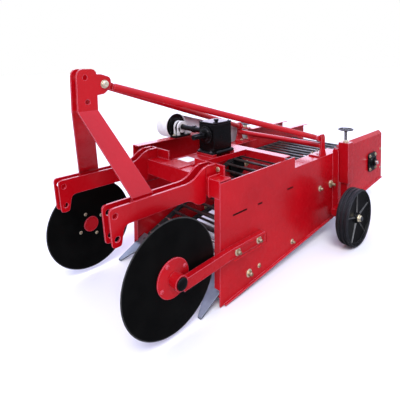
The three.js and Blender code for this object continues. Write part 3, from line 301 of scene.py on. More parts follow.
class Shape:
    """Collects solids in one mesh; each face keeps the material it was added with."""

    def __init__(self, material):
        self.mesh = bmesh.new()
        self.materials = [material]
        self.current = 0

    def using(self, material):
        """Gives a material to the faces that are added next."""
        if material not in self.materials:
            self.materials.append(material)
        self.current = self.materials.index(material)

    def _face(self, points, smooth):
        try:
            face = self.mesh.faces.new(points)
        except ValueError:  # the mesh has this face already, or two of its points are one
            return
        face.material_index = self.current
        face.smooth = smooth

    def rings(self, rings, close=False, smooth=False):
        """A skin through rings of points: closed on itself, or capped at both ends."""
        made = [[self.mesh.verts.new(point) for point in ring] for ring in rings]
        pairs = list(zip(made, made[1:]))
        if close:
            pairs.append((made[-1], made[0]))
        for a, b in pairs:
            count = len(a)
            for i in range(count):
                j = (i + 1) % count
                self._face((a[i], a[j], b[j], b[i]), smooth)
        if not close:
            self._face(made[0][::-1], False)
            self._face(made[-1], False)

    def lathe(self, profile, origin, axis, segments, close=False):
        """Turns (radius, along) points about an axis; a radius of 0 closes the end."""
        axis = axis.normalized()
        side = axis.orthogonal().normalized()
        other = axis.cross(side)
        rows = []
        for radius, along in profile:
            foot = origin + axis * along
            points = circle(foot, radius, segments, side, other) if radius else [foot]
            rows.append([self.mesh.verts.new(point) for point in points])
        pairs = list(zip(rows, rows[1:]))
        if close:
            pairs.append((rows[-1], rows[0]))
        for a, b in pairs:
            if len(a) == len(b) == 1:
                continue
            for i in range(segments):
                j = (i + 1) % segments
                if len(a) == 1:
                    corners = (a[0], b[j], b[i])
                elif len(b) == 1:
                    corners = (a[i], a[j], b[0])
                else:
                    corners = (a[i], a[j], b[j], b[i])
                self._face(corners, True)

    def rod(self, a, b, radius, segments, chamfer=None):
        """A round bar with chamfered ends."""
        cut = min(radius * 0.25, 0.002) if chamfer is None else chamfer
        length = (b - a).length
        profile = [(0, 0), (radius - cut, 0), (radius, cut), (radius, length - cut),
                   (radius - cut, length), (0, length)]
        self.lathe(profile, a, b - a, segments)

    def cross_rod(self, start, end, middle, radius, segments, chamfer=None):
        """A round bar along X, from one x to another, at a middle's y and z."""
        a, b = (xyz(x, middle.y, middle.z) for x in (start, end))
        self.rod(a, b, radius, segments, chamfer)

    def prism(self, outline, low, high):
        """An outline of (y, z) points pushed along X."""
        self.rings([[xyz(x, y, z) for y, z in outline] for x in (low, high)])

    def box(self, low, high):
        corners = ((low.x, low.y), (high.x, low.y), (high.x, high.y), (low.x, high.y))
        self.rings([[xyz(x, y, z) for x, y in corners] for z in (low.z, high.z)])

    def hexagon(self, foot, axis, radius, height, turn=0.0):
        """A bolt head or nut with chamfered corners."""
        side = axis.orthogonal().normalized()
        other = axis.cross(side)
        levels = ((radius, 0), (radius, height * 0.8), (radius * 0.84, height))
        self.rings([circle(foot + axis * along, reach, 6, side, other, turn)
                    for reach, along in levels])

    def bolt(self, foot, axis, size, stud=0.0):
        """A washer and a hex head; with stud, a nut with a threaded end through it."""
        turn = (foot.x * 37 + foot.y * 91 + foot.z * 53) % 1.0  # each is turned its own way
        rim, thick = size * 1.25, size * 0.18
        washer = [(0, 0), (rim, 0), (rim, size * 0.1), (size * 1.15, thick), (0, thick)]
        self.lathe(washer, foot, axis, 24)
        shade = self.current
        if self.materials[shade] is ZINC:
            self.using(WORN_ZINC)
        self.hexagon(foot + axis * thick, axis, size * 0.82, size * 0.6, turn)
        if stud:
            turns = 8
            profile = thread(size * 0.42, size * 0.5, stud, turns, stud / turns / 2)
            self.lathe(profile, foot + axis * size * 0.7, axis, 12)
        self.current = shade

    def weld(self, a, b, radius=0.0035):
        """A stitched bead along a straight seam."""
        length = (b - a).length
        steps = max(2, int(length / WELD_PITCH))
        stitch = length / steps
        profile = [(0, 0)]
        for i in range(steps):
            profile += [(radius * 0.82, stitch * (i + 0.08)), (radius, stitch * (i + 0.5))]
        profile += [(radius * 0.7, length), (0, length + radius * 0.3)]
        self.lathe(profile, a, b - a, 7)

    def hoop(self, points, radius, segments):
        """A round bar along a closed line of points."""
        rings = []
        reference = (points[1] - points[-1]).orthogonal()
        for i, point in enumerate(points):
            ahead = (points[(i + 1) % len(points)] - points[i - 1]).normalized()
            reference = (reference - ahead * reference.dot(ahead)).normalized()
            rings.append(circle(point, radius, segments, reference, ahead.cross(reference)))
        self.rings(rings, close=True, smooth=True)

    def weld_collar(self, middle, radius):
        """A weld round the end of a bar that lies along X."""
        self.using(RED_WELD)
        self.hoop(circle(middle, radius, 28), COLLAR_BEAD, 8)

    def place(self, name, slot, replaces=(), body="frame", bevel=0.0, bevel_segments=2):
        """Makes the object, with its body and the CAD nodes it stands for; its slot is not used.
        """
        bmesh.ops.remove_doubles(self.mesh, verts=self.mesh.verts, dist=1e-6)
        bmesh.ops.recalc_face_normals(self.mesh, faces=self.mesh.faces)
        data = bpy.data.meshes.new(name)
        self.mesh.to_mesh(data)
        self.mesh.free()
        for material in self.materials:
            data.materials.append(material)
        made = bpy.data.objects.new(name, data)
        bpy.context.scene.collection.objects.link(made)
        if bevel:
            modifier = made.modifiers.new("bevel", "BEVEL")
            modifier.width = bevel
            modifier.segments = bevel_segments
            modifier.limit_method = "ANGLE"
            modifier.angle_limit = BEVEL_ANGLE
            modifier.use_clamp_overlap = True
        if any(p.use_smooth for p in data.polygons):
            data.set_sharp_from_angle(angle=SHARP_ANGLE)
        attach(made, body)
        if replaces:
            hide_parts(*replaces)


# ------------------------------ CAD nodes
SLOT_MATERIALS = {
    "red_paint": RED, "black_paint": BLACK, "white_paint": WHITE, "grey_paint": GREY,
    "bright_steel": STEEL, "share_steel": BLUE_STEEL, "screw_steel": GREY_STEEL,
    "zinc_plate": ZINC, "tyre": RUBBER,
}
NODE_MATERIALS = {"drum_guard": WHITE, "chain_guard": GREY}


def dress_frame():
    """Gives each CAD node the finished material of its slot, or one of its own."""
    slots = {part["node"]: part["material_slot"] for part in frame["record"]["subparts"]}
    for name in frame["nodes"]:
        materials = frame["nodes"][name].data.materials
        materials.clear()
        materials.append(NODE_MATERIALS.get(name, SLOT_MATERIALS[slots[name]]))


# ------------------------------ cutting discs
HUB_BOLTS = 4
HUB_BOLT_CIRCLE = 0.078
HUB_BOLT_TURN = 0.3 * TAU / HUB_BOLTS
HUB_BOLT_SIZE = 0.008
FLANGE_FACE = 0.009  # thickness of the hub's flange
SPINDLE_RADIUS = 0.0138
GROUND_EDGE = 0.007  # width of the disc's bare rim
ARM_WELD_Z = (0.257, 0.313)  # the arm's lower and upper edge
ARM_WELD_FRONT = 380
ARM_FACE = 442.4
ARM_BOLT_Y, ARM_BOLT_Z = (425, 610), 285


def cutting_disc(side, word):
    """The blade with its ground rim, the hub's flange and the bolts through both."""
    low, high, mid = extent(f"{word}_cutting_disc")
    half = (high.x - low.x) / 2
    tip = (high.z - low.z) / 2 - 0.001
    ground = (high.z - low.z) / 2 - GROUND_EDGE
    face = Shape(DISC_BLACK)
    face.lathe([(0, -half), (ground, -half)], mid, X, 128)
    face.lathe([(ground, half), (0, half)], mid, X, 128)
    face.using(RIM_STEEL)
    face.lathe([(ground, -half), (tip, -0.0007), (tip, 0.0007), (ground, half)], mid, X, 128)
    face.place(f"{word}_disc_blade", "black_paint", (f"{word}_cutting_disc",), f"{word}_disc")

    low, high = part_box(f"{word}_disc_hub")
    flange = (high.z - low.z) / 2
    out = X * side
    foot = xyz(across(f"{word}_disc_hub", side)[0], mid.y, mid.z)
    hub = Shape(RED)
    hub.lathe([(0, 0), (flange - 0.003, 0), (flange, 0.002), (flange, 0.007),
               (flange - 0.002, FLANGE_FACE), (0.05, FLANGE_FACE), (0.044, 0.0135),
               (0.0325, 0.014), (0.0325, 0.0145), (0, 0.0145)], foot, out, 72)
    hub.rod(foot + out * 0.01, foot + out * 0.05, SPINDLE_RADIUS, 24)
    seats = circle(foot + out * (FLANGE_FACE - 0.0001), HUB_BOLT_CIRCLE, HUB_BOLTS,
                   turn=HUB_BOLT_TURN)
    for seat in seats:
        hub.bolt(seat, out, HUB_BOLT_SIZE)
    hub.place(f"{word}_disc_hub_flange", "red_paint", (f"{word}_disc_hub",), f"{word}_disc")

    back = Shape(ZINC)
    inner = xyz(mid.x - side * half, mid.y, mid.z)
    for seat in circle(inner, HUB_BOLT_CIRCLE, HUB_BOLTS, turn=HUB_BOLT_TURN):
        back.bolt(seat, -out, HUB_BOLT_SIZE)
    back.using(RED)
    back.lathe([(0, 0), (0.048, 0), (0.046, 0.006), (0, 0.008)], inner, -out, 48)
    back.place(f"{word}_disc_inner_bolts", "zinc_plate", body=f"{word}_disc")


def disc_arm(side, word):
    """The hub housing's dust cap, and the welds and bolts that hold the arm."""
    out = X * side
    cap = Shape(BLACK)
    foot = xyz(across(f"{word}_disc_arm", side)[1], DISC_Y, DISC.z)
    cap.lathe([(0, -0.001), (0.03, -0.001), (0.03, 0.006), (0.026, 0.010), (0.012, 0.012),
               (0, 0.012)], foot, out, 40)
    cap.place(f"{word}_hub_cap", "black_paint")

    welds = Shape(RED_WELD)
    plate = across(f"{word}_side_plate", side)[1]
    front, rear = at(0, ARM_WELD_FRONT, 0).y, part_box(f"{word}_disc_arm")[1].y
    x = plate + side * 0.0015
    for z in (ARM_WELD_Z[0] - 0.001, ARM_WELD_Z[1] + 0.001):
        welds.weld(xyz(x, front, z), xyz(x, rear, z))
    x = plate + side * 0.002
    welds.weld(*(xyz(x, rear, z) for z in ARM_WELD_Z))
    welds.place(f"{word}_arm_welds", "red_paint")

    bolts = Shape(ZINC)
    for y in ARM_BOLT_Y:
        bolts.bolt(at(side * ARM_FACE, y, ARM_BOLT_Z), out, 0.0175, 0.012)
    bolts.place(f"{word}_arm_bolts", "zinc_plate")


# ------------------------------ gauge wheels
TREAD_BANDS = 3
TREAD_SHOULDER = 0.007
TREAD_GROOVE = 0.009
TREAD_DEPTH = 0.009
RIM_BORE = 0.0163
SPOKES = 5
SPOKE_TURN = 0.3 * TAU / SPOKES
LEG_SIZE = 0.052
AXLE_RADIUS = 0.015
WASHER = 0.003


def band(start, end, crest, floor):
    """A lathe profile of one raised band of tread, from one edge to the other."""
    soft, lip = 0.0025, 0.0006
    return [(floor, start), (crest - soft, start + lip), (crest, start + soft),
            (crest, end - soft), (crest - soft, end - lip), (floor, end)]


def gauge_wheel(side, word):
    """Three bands of tread, a nearly flush cone of a face with raised spokes, and the nut."""
    low, high, mid = extent(f"{word}_tyre")
    rim_low, rim_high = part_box(f"{word}_wheel_rim")
    half = (high.x - low.x) / 2
    rim = (rim_high.z - rim_low.z) / 2 + 0.0003
    out = X * side
    crest = (high.z - low.z) / 2 - 0.0003
    groove = crest - TREAD_DEPTH
    grooves = (TREAD_BANDS - 1) * TREAD_GROOVE
    width = (2 * half - 2 * TREAD_SHOULDER - grooves) / TREAD_BANDS
    profile = [(rim, -half + 0.008), (rim + 0.003, -half + 0.0005),
               (groove - 0.001, -half + 0.001)]
    for i in range(TREAD_BANDS):
        start = -half + TREAD_SHOULDER + i * (width + TREAD_GROOVE)
        profile += band(start, start + width, crest, groove)
    profile += [(groove - 0.001, half - 0.001), (rim + 0.003, half - 0.0005), (rim, half - 0.008)]
    tyre = Shape(RUBBER)
    tyre.lathe(profile, mid, out, 128, close=True)
    tyre.place(f"{word}_wheel_tyre", "tyre", (f"{word}_tyre",), f"{word}_wheel")

    inner, outer = (side * x for x in across(f"{word}_wheel_rim", side))
    axis_foot = xyz(0, mid.y, mid.z)
    edge = rim - 0.0006
    dish = outer - 0.006
    wheel = Shape(RIM_GREY)
    wheel.lathe([(RIM_BORE, inner), (0.033, inner), (0.033, dish - 0.026),
                 (edge - 0.012, dish - 0.02), (edge - 0.008, inner + 0.012), (edge, inner + 0.01),
                 (edge, outer - 0.003), (edge - 0.003, outer), (edge - 0.009, outer - 0.001),
                 (edge - 0.013, dish - 0.002), (0.06, dish - 0.009), (0.04, dish - 0.010),
                 (0.036, outer - 0.002), (0.034, outer), (RIM_BORE, outer)],
                axis_foot, out, 96, close=True)
    wheel.using(SPOKE)
    for radial in circle(Vector(), 1, SPOKES, turn=SPOKE_TURN):
        tangent = X.cross(radial)
        near = axis_foot + out * (dish - 0.012) + radial * 0.03
        far = axis_foot + out * (dish - 0.006) + radial * (edge - 0.012)
        wheel.rings([[point - tangent * width, point + tangent * width,
                      point + tangent * width * 0.4 + out * rise,
                      point - tangent * width * 0.4 + out * rise]
                     for point, width, rise in ((near, 0.0042, 0.011), (far, 0.0032, 0.009))])
    wheel.place(f"{word}_wheel_disc", "grey_paint", (f"{word}_wheel_rim",), f"{word}_wheel")

    nut = Shape(ZINC)
    tip = axis_foot + out * (outer + 0.0004)
    nut.lathe([(0, 0), (0.026, 0), (0.026, WASHER), (0, WASHER)], tip, out, 24)
    nut.hexagon(tip + out * WASHER, out, 0.0225, 0.0145)
    nut.place(f"{word}_axle_nut", "zinc_plate", body=f"{word}_leg")


def wheel_leg(side, word):
    """The sliding square tube, its forward link and the bare axle."""
    low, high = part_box(f"{word}_wheel_leg")
    wheel = centre(f"{word}_wheel_rim")
    half = LEG_SIZE / 2
    inner, outer = across(f"{word}_wheel_leg", side)
    middle = inner + side * half
    rear = high.y
    made = Shape(RED)
    made.box(xyz(middle - half, rear - LEG_SIZE, low.z), xyz(middle + half, rear, high.z))
    made.box(xyz(middle - half + 0.001, wheel.y - half, low.z + 0.0005),
             xyz(middle + half - 0.001, rear - LEG_SIZE + 0.004, wheel.z + half))
    made.place(f"{word}_leg_tube", "red_paint", (f"{word}_wheel_leg",), f"{word}_leg", bevel=0.003)
    axle = Shape(DARK_STEEL)
    axle.cross_rod(middle, outer, wheel, AXLE_RADIUS, 32)
    collar = xyz(middle + side * (half + 0.001), wheel.y, wheel.z)
    axle.weld_collar(collar, AXLE_RADIUS + 0.001)
    axle.place(f"{word}_axle", "red_paint", body=f"{word}_leg")


HANDWHEEL_BAR = 0.006
HANDWHEEL_SPOKES = 3
HANDWHEEL_HUB = [(0, -0.014), (0.017, -0.014), (0.0195, -0.011), (0.0195, 0.006),
                 (0.015, 0.010), (0, 0.010)]
SCREW_PITCH = 0.004
SCREW_WASHER = 0.004


def handwheel(word):
    """The height screw and its handwheel, and the washer and nut on the leg's guide."""
    low, high, mid = extent(f"{word}_handwheel")
    reach = (high.x - low.x) / 2 - HANDWHEEL_BAR
    hub = xyz(mid.x, mid.y, high.z - 0.014)
    made = Shape(GREY_STEEL)
    made.hoop(circle(hub, reach, 48, X, Y), HANDWHEEL_BAR, 14)
    for end in circle(hub, reach, HANDWHEEL_SPOKES, X, Y):
        made.rod(hub - Z * 0.002, end, 0.005, 12, 0)
    made.lathe(HANDWHEEL_HUB, hub, Z, 32)
    made.hexagon(hub + Z * 0.010, Z, 0.0095, 0.0035)
    length = hub.z - 0.014 - low.z
    screw = thread(0.0095, 0.011, length, int(length / SCREW_PITCH), SCREW_PITCH / 2)
    made.lathe(screw, xyz(mid.x, mid.y, low.z), Z, 20)
    seat = xyz(mid.x, mid.y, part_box(f"{word}_leg_guide")[1].z)
    made.using(ZINC)
    made.lathe([(0.0112, 0.0004), (0.022, 0.0004), (0.022, SCREW_WASHER), (0.0112, SCREW_WASHER)],
               seat, Z, 28, close=True)
    made.hexagon(seat + Z * SCREW_WASHER, Z, 0.0185, 0.012)
    made.place(f"{word}_height_screw", "screw_steel", (f"{word}_handwheel",))


# ------------------------------ mast and braces
BRACE_RADIUS = 0.02
EYE_HALF = 0.011  # half the thickness of a brace's flat end
PIN_RADIUS = 0.0149
NUT_FACE = 0.0383  # where the mast pin's washers sit, from the middle


def brace(side, word):
    """A tube with closed ends, a flat eye at each end and the welds between them."""
    pin = centre("mast_pin")
    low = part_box(f"{word}_brace")[0]
    inner, outer = across(f"{word}_brace", side)
    start = xyz(inner + side * EYE_HALF, pin.y, pin.z)
    finish = xyz(outer - side * EYE_HALF, centre(f"{word}_brace_bracket").y, low.z + 0.024)
    way = (finish - start).normalized()
    a, b = start + way * 0.062, finish - way * 0.052
    length = (b - a).length
    made = Shape(RED)
    made.lathe([(0, -0.004), (0.012, -0.004), (0.0195, 0.002), (BRACE_RADIUS, 0.006),
                (BRACE_RADIUS, length - 0.006), (0.0195, length - 0.002), (0.012, length + 0.004),
                (0, length + 0.004)], a, way, 40)
    for point, radius, heading, reach in ((start, 0.027, way, 0.075),
                                          (finish, 0.024, -way, 0.065)):
        flat = xyz(0, heading.y, heading.z).normalized()
        lift = X.cross(flat)
        outline = arc(0, 0, radius, 90, 270, 16)
        outline += [(reach * 0.8, -0.016), (reach, -0.009), (reach, 0.009), (reach * 0.8, 0.016)]
        made.rings([[point + flat * u + lift * v + X * x for u, v in outline]
                    for x in (-0.0108, 0.0108)])
    made.using(RED_WELD)
    for foot, heading in ((a, way), (b, -way)):
        for face in (-X, X):
            made.weld(foot + face * 0.0112 - heading * 0.012,
                      foot + face * 0.016 + heading * 0.014, 0.003)
    made.place(f"{word}_brace_tube", "red_paint", (f"{word}_brace",))


def mast_details():
    """The mast's pin with its nuts, and the welds that hold the hitch plates to the beam."""
    low, high, mid = extent("mast_pin")
    pin = Shape(ZINC)
    pin.cross_rod(low.x, high.x, mid, PIN_RADIUS, 32)
    for out in (X, -X):
        foot = xyz(0, mid.y, mid.z) + out * NUT_FACE
        pin.lathe([(PIN_RADIUS, 0), (0.0215, 0), (0.0215, 0.0025), (PIN_RADIUS, 0.0025)],
                  foot, out, 32, close=True)
        pin.hexagon(foot + out * 0.0026, out, 0.0185, 0.0112, 0.2)
    pin.place("mast_pin_and_nuts", "zinc_plate", ("mast_pin",))

    welds = Shape(RED_WELD)
    beam_low, beam_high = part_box("front_beam")
    front, top = beam_low.y - 0.0015, beam_high.z + 0.0015
    for _, word in SIDES:
        for place in ("outer", "inner"):
            plate_low, plate_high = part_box(f"{word}_{place}_hitch_plate")
            for x in (plate_low.x - 0.0015, plate_high.x + 0.0015):
                welds.weld(xyz(x, front, beam_low.z + 0.004),
                           xyz(x, front, beam_high.z - 0.004))
                welds.weld(xyz(x, beam_low.y, top), xyz(x, beam_high.y - 0.012, top),
                           0.003)
    welds.place("beam_welds", "red_paint")


# ------------------------------ rod web
BELT_WIDTH = 0.032
BELT_THICKNESS = 0.020
BELT_STEPS = 300
ARC_STEPS = 120
ROD_PITCH = 0.080
ROD_RADIUS = 0.010
SHADED_RODS_FROM_Y = 620  # rods from here back get the dark steel, painted shade of the web's inside; rods ahead keep the bright steel
WEB_WHEEL_HALF = 0.0145
SPROCKET_TEETH = 12


def web_path(grow, count=0, spacing=0.0):
    """Places (y, z) and outward directions round the web's three wheels, evenly spaced."""
    wheels = []
    for name in ("web_drive_shaft", "web_idler", "front_roller"):
        low, high, mid = extent(name)
        wheels.append((mid.y, mid.z, (high.z - low.z) / 2 + grow))
    leaving = []
    for (ay, az, ar), (by, bz, br) in zip(wheels, wheels[1:] + wheels[:1]):
        heading = atan2(bz - az, by - ay)
        leaving.append(heading - acos((ar - br) / hypot(by - ay, bz - az)))
    dense = []
    for i, (y, z, radius) in enumerate(wheels):
        start = leaving[i - 1]
        sweep = (leaving[i] - start) % TAU
        for k in range(ARC_STEPS + 1):
            angle = start + sweep * k / ARC_STEPS
            dense.append((y + radius * cos(angle), z + radius * sin(angle)))
    dense.append(dense[0])
    lengths = [0]
    for a, b in zip(dense, dense[1:]):
        lengths.append(lengths[-1] + dist(a, b))
    number = count or round(lengths[-1] / spacing)
    found, k = [], 0
    for i in range(number):
        target = lengths[-1] * i / number
        while lengths[k + 1] < target:
            k += 1
        share = (target - lengths[k]) / max(1e-9, lengths[k + 1] - lengths[k])
        (y, z), (next_y, next_z) = dense[k], dense[k + 1]
        dy, dz = next_y - y, next_z - z
        size = hypot(dy, dz) or 1
        found.append((y + share * dy, z + share * dz, dz / size, -dy / size))
    return found


def belt_x():
    """Distance from the middle to the centre of each side belt."""
    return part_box("conveyor_web")[1].x - BELT_WIDTH / 2


def rod_web():
    """Two side belts, and straight rods with a pair of rivets through each belt."""
    middle = belt_x()
    belts = Shape(BELT)
    inner = web_path(0.0004, count=BELT_STEPS)
    outer = web_path(BELT_THICKNESS - 0.001, count=BELT_STEPS)
    for side in (1, -1):
        x0, x1 = side * (middle - BELT_WIDTH / 2), side * (middle + BELT_WIDTH / 2)
        belts.rings([[xyz(x0, yi, zi), xyz(x1, yi, zi),
                      xyz(x1, yo, zo), xyz(x0, yo, zo)]
                     for (yi, zi, _, _), (yo, zo, _, _) in zip(inner, outer)], close=True)
    belts.place("web_belts", "black_paint")

    rods = Shape(STEEL)
    rivets = Shape(DARK_STEEL)
    reach = middle + BELT_WIDTH / 2 - 0.006
    for y, z, normal_y, normal_z in web_path(BELT_THICKNESS / 2, spacing=ROD_PITCH):
        place, normal = xyz(0, y, z), xyz(0, normal_y, normal_z)
        # the rods behind the front get the dark steel, painted shade
        rods.using(STEEL if y < at(0, SHADED_RODS_FROM_Y, 0).y else SHADED_ROD_STEEL)
        rods.cross_rod(-reach, reach, place, ROD_RADIUS, 14, 0.001)
        for side in (1, -1):
            for inset in (-0.009, 0.009):
                spot = place + X * side * (middle + inset) + normal * 0.0088
                rivets.lathe([(0, 0), (0.005, 0), (0.004, 0.0016), (0, 0.0021)], spot, normal, 10)
    rods.place("web_rods", "bright_steel", ("conveyor_web",))
    rivets.place("web_rivets", "bright_steel")


def sprocket(mid, radius):
    """The outline of a toothed wheel round a shaft."""
    outline = []
    steps = SPROCKET_TEETH * 8
    for i in range(steps):
        angle = TAU * i / steps
        depth = 0.5 - 0.5 * cos(angle * SPROCKET_TEETH)
        reach = radius - 0.011 * (1 - depth) ** 3
        outline.append((mid.y + reach * cos(angle), mid.z + reach * sin(angle)))
    return outline


def rollers():
    """The web's front roller, its carrier wheels and the drive shaft with its sprockets."""
    low, high, mid = extent("front_roller")
    made = Shape(DARK_STEEL)
    made.cross_rod(-high.x, high.x, mid, 0.0129, 24)
    made.cross_rod(-high.x + 0.012, high.x - 0.012, mid, 0.0328, 48, 0.003)
    made.place("front_roller_barrel", "black_paint", ("front_roller",))
    for name, title, slot, axle, metal in (
        ("web_idler", "idler_wheels", "black_paint", 0.0128, BLACK),
        ("web_drive_shaft", "drive_shaft_and_sprockets", "bright_steel", 0.0168, STEEL),
    ):
        low, high, mid = extent(name)
        radius = (high.z - low.z) / 2 - 0.0004
        made = Shape(metal)
        made.cross_rod(low.x, high.x, mid, axle, 32)
        made.using(RIM_GREY)
        for x in (-belt_x(), 0, belt_x()):
            start, end = x - WEB_WHEEL_HALF, x + WEB_WHEEL_HALF
            if name == "web_idler":
                made.cross_rod(start, end, mid, radius, 48, 0.003)
            else:
                made.prism(sprocket(mid, radius), start, end)
        made.place(title, slot, (name,))


# ------------------------------ drive line
GEARBOX_FOOT = 0.012
COVER_BOLTS = 6
SHAFT_RADIUS = 0.0198
SPLINES = 6
CLUTCH_BOLTS = 4
BEARING_RING = 0.0435


def gearbox():
    """The case on its foot, the two round covers and the bolts."""
    low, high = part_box("gearbox")
    shaft = centre("cross_shaft")
    foot_top = low.z + GEARBOX_FOOT
    body_low = xyz(low.x + 0.022, low.y + 0.022, foot_top - 0.001)
    body_high = xyz(high.x - 0.005, high.y - 0.020, high.z - 0.012)
    mid_x, mid_y, _ = (body_low + body_high) / 2
    made = Shape(BLACK)
    made.box(xyz(low.x + 0.017, low.y + 0.002, low.z), xyz(high.x, high.y, foot_top))
    made.box(body_low, body_high)
    made.box(xyz(body_low.x - 0.002, body_low.y - 0.002, body_high.z),
             xyz(body_high.x + 0.002, body_high.y + 0.002, high.z))
    made.place("gearbox_case", "black_paint", ("gearbox",), bevel=0.009, bevel_segments=4)

    covers = Shape(BLACK)
    front = xyz(mid_x, body_low.y, shaft.z)
    right = xyz(body_low.x, mid_y, shaft.z)
    bore = SHAFT_RADIUS + 0.0009
    for foot, way, radius in ((front, -Y, 0.057), (right, -X, 0.053)):
        covers.lathe([(bore, 0), (radius, 0), (radius, 0.008), (radius - 0.004, 0.010),
                      (radius - 0.012, 0.011), (radius - 0.015, 0.018), (radius - 0.021, 0.0217),
                      (bore, 0.0217)], foot, way, 56, close=True)
    covers.place("gearbox_covers", "black_paint")

    bolts = Shape(BLACK)
    for foot, way, radius, u in ((front, -Y, 0.051, X), (right, -X, 0.047, Y)):
        for seat in circle(foot + way * 0.0085, radius, COVER_BOLTS, u, Z, TAU / 2 / COVER_BOLTS):
            bolts.bolt(seat, way, 0.0048)
    for x in (body_low.x + 0.014, body_high.x - 0.014):
        for y in (body_low.y + 0.014, body_high.y - 0.014):
            bolts.bolt(xyz(x, y, high.z - 0.0002), Z, 0.006)
    breather = xyz(body_high.x - 0.03, mid_y - 0.03, high.z)
    bolts.lathe([(0, 0), (0.012, 0), (0.012, 0.006), (0.016, 0.008), (0.017, 0.016),
                 (0.013, 0.021), (0, 0.022)], breather, Z, 24)
    bolts.using(DARK_STEEL)
    for x in (mid_x - 0.052, mid_x + 0.052):
        for y in (low.y + 0.0105, high.y - 0.009):
            bolts.bolt(xyz(x, y, foot_top), Z, 0.008, 0.006)
    bolts.place("gearbox_bolts", "zinc_plate")


def pto_stub():
    """The splined input shaft, with a groove round it for the drive's catch."""
    low, high, mid = extent("pto_shaft")
    crest, root, neck = SHAFT_RADIUS, SHAFT_RADIUS - 0.0034, SHAFT_RADIUS - 0.0036
    smooth = crest - 0.0002
    stations = []
    for along, outer, inner in (
        (0, neck, neck - 0.001), (0.004, crest, root), (0.024, crest, root), (0.026, neck, neck),
        (0.034, neck, neck), (0.036, crest, root), (0.074, crest, root), (0.080, crest, smooth),
        (high.y - low.y, crest, smooth),
    ):
        count = SPLINES * 4
        centre_point = xyz(mid.x, low.y + along, mid.z)
        directions = circle(Vector(), 1, count, X, Z, TAU / 2 / count)
        stations.append([centre_point + direction * (outer if i % 4 in (0, 1) else inner)
                         for i, direction in enumerate(directions)])
    made = Shape(BLACK)
    made.rings(stations)
    made.place("splined_input_shaft", "bright_steel", ("pto_shaft",), "pto")


def cross_drive():
    """The cross shaft with the clutch's bolted plate and two collars."""
    low, high, mid = extent("cross_shaft")
    made = Shape(BLACK)
    made.cross_rod(low.x, high.x, mid, SHAFT_RADIUS, 40)
    reach = (high.z - low.z) / 2 - 0.0003
    neck = SHAFT_RADIUS - 0.0004
    face = xyz(low.x + 0.05, mid.y, mid.z)
    made.lathe([(neck, 0.0062), (0.052, 0.0062), (0.056, 0.009), (reach - 0.008, 0.009),
                (reach - 0.004, 0.0062), (reach, 0.008), (reach, 0.0265), (reach - 0.002, 0.0278),
                (neck, 0.0278)], face, -X, 96, close=True)
    made.lathe([(neck, 0.0275), (0.042, 0.0275), (0.04, 0.0490), (neck, 0.0485)],
               face, -X, 48, close=True)
    half_turn = TAU / 2 / CLUTCH_BOLTS
    for seat in circle(face - X * 0.009, 0.066, CLUTCH_BOLTS, turn=half_turn):
        made.bolt(seat, X, 0.0068)
    for x, size in ((-0.10, 0.030), (-0.20, 0.026)):
        made.lathe([(neck, 0), (size, 0), (size, 0.02), (neck, 0.02)],
                   xyz(x, mid.y, mid.z), -X, 40, close=True)
    made.place("cross_shaft_and_clutch", "bright_steel", ("cross_shaft",), "cross_drive")


def shaft_bearing():
    """The block that carries the cross shaft, with two pale clamp rings round it."""
    low, high, mid = extent("shaft_bearing")
    shaft = centre("cross_shaft")
    place = xyz(mid.x, shaft.y, shaft.z)
    made = Shape(BLACK)
    made.box(xyz(low.x, low.y + 0.001, low.z),
             xyz(high.x, high.y - 0.001, low.z + 0.016))
    made.place("bearing_base", "black_paint", ("shaft_bearing",), bevel=0.003)

    made = Shape(WHITE)
    bore = SHAFT_RADIUS + 0.0008
    leg_foot = low.z + 0.012 - shaft.z
    for offset in (-0.019, 0.019):
        made.lathe([(bore, -0.007), (BEARING_RING, -0.007), (BEARING_RING + 0.0004, 0),
                    (BEARING_RING, 0.007), (bore, 0.007)], place + X * offset, X, 56, close=True)
        for leg in (0.009 - BEARING_RING, BEARING_RING - 0.009):
            made.box(place + xyz(offset - 0.007, leg - 0.009, leg_foot),
                     place + xyz(offset + 0.007, leg + 0.009, 0))
    made.using(BLACK)
    made.lathe([(bore, -0.013), (0.0355, -0.013), (0.036, 0), (0.0355, 0.013), (bore, 0.013)],
               place, X, 48, close=True)
    made.box(place + xyz(-0.010, -0.03, leg_foot), place + xyz(0.010, 0.03, -0.026))
    made.using(ZINC)
    for y in (-0.062, 0.062):
        made.bolt(xyz(mid.x, shaft.y + y, low.z + 0.016), Z, 0.010, 0.005)
    made.place("bearing_rings", "grey_paint")


def drum():
    """The white drum, closed on its outer end."""
    low, high, mid = extent("drum_guard")
    radius = (high.z - low.z) / 2 - 0.0002
    lining = radius - 0.004
    depth = high.x - low.x
    made = Shape(WHITE)
    made.lathe([(lining, 0), (radius, 0.001), (radius, depth - 0.006), (radius - 0.005, depth),
                (0, depth), (0, depth - 0.004), (radius - 0.006, depth - 0.004),
                (lining, depth - 0.008), (lining, 0)], xyz(high.x, mid.y, mid.z), -X, 96)
    made.place("white_drum", "white_paint", ("drum_guard",))


FLANGE_THICKNESS = 0.0135
FLANGE_CORNER = 0.03


def rounded(corners, radius):
    """An outline with rounded corners, from (y, z) points given anticlockwise from low y and z."""
    outline = []
    for (y, z), start in zip(corners, (180, 270, 0, 90)):
        middle_y = y + (radius if start in (90, 180) else -radius)
        middle_z = z + (radius if start in (180, 270) else -radius)
        outline += arc(middle_y, middle_z, radius, start, start + 90, 6)
    return outline


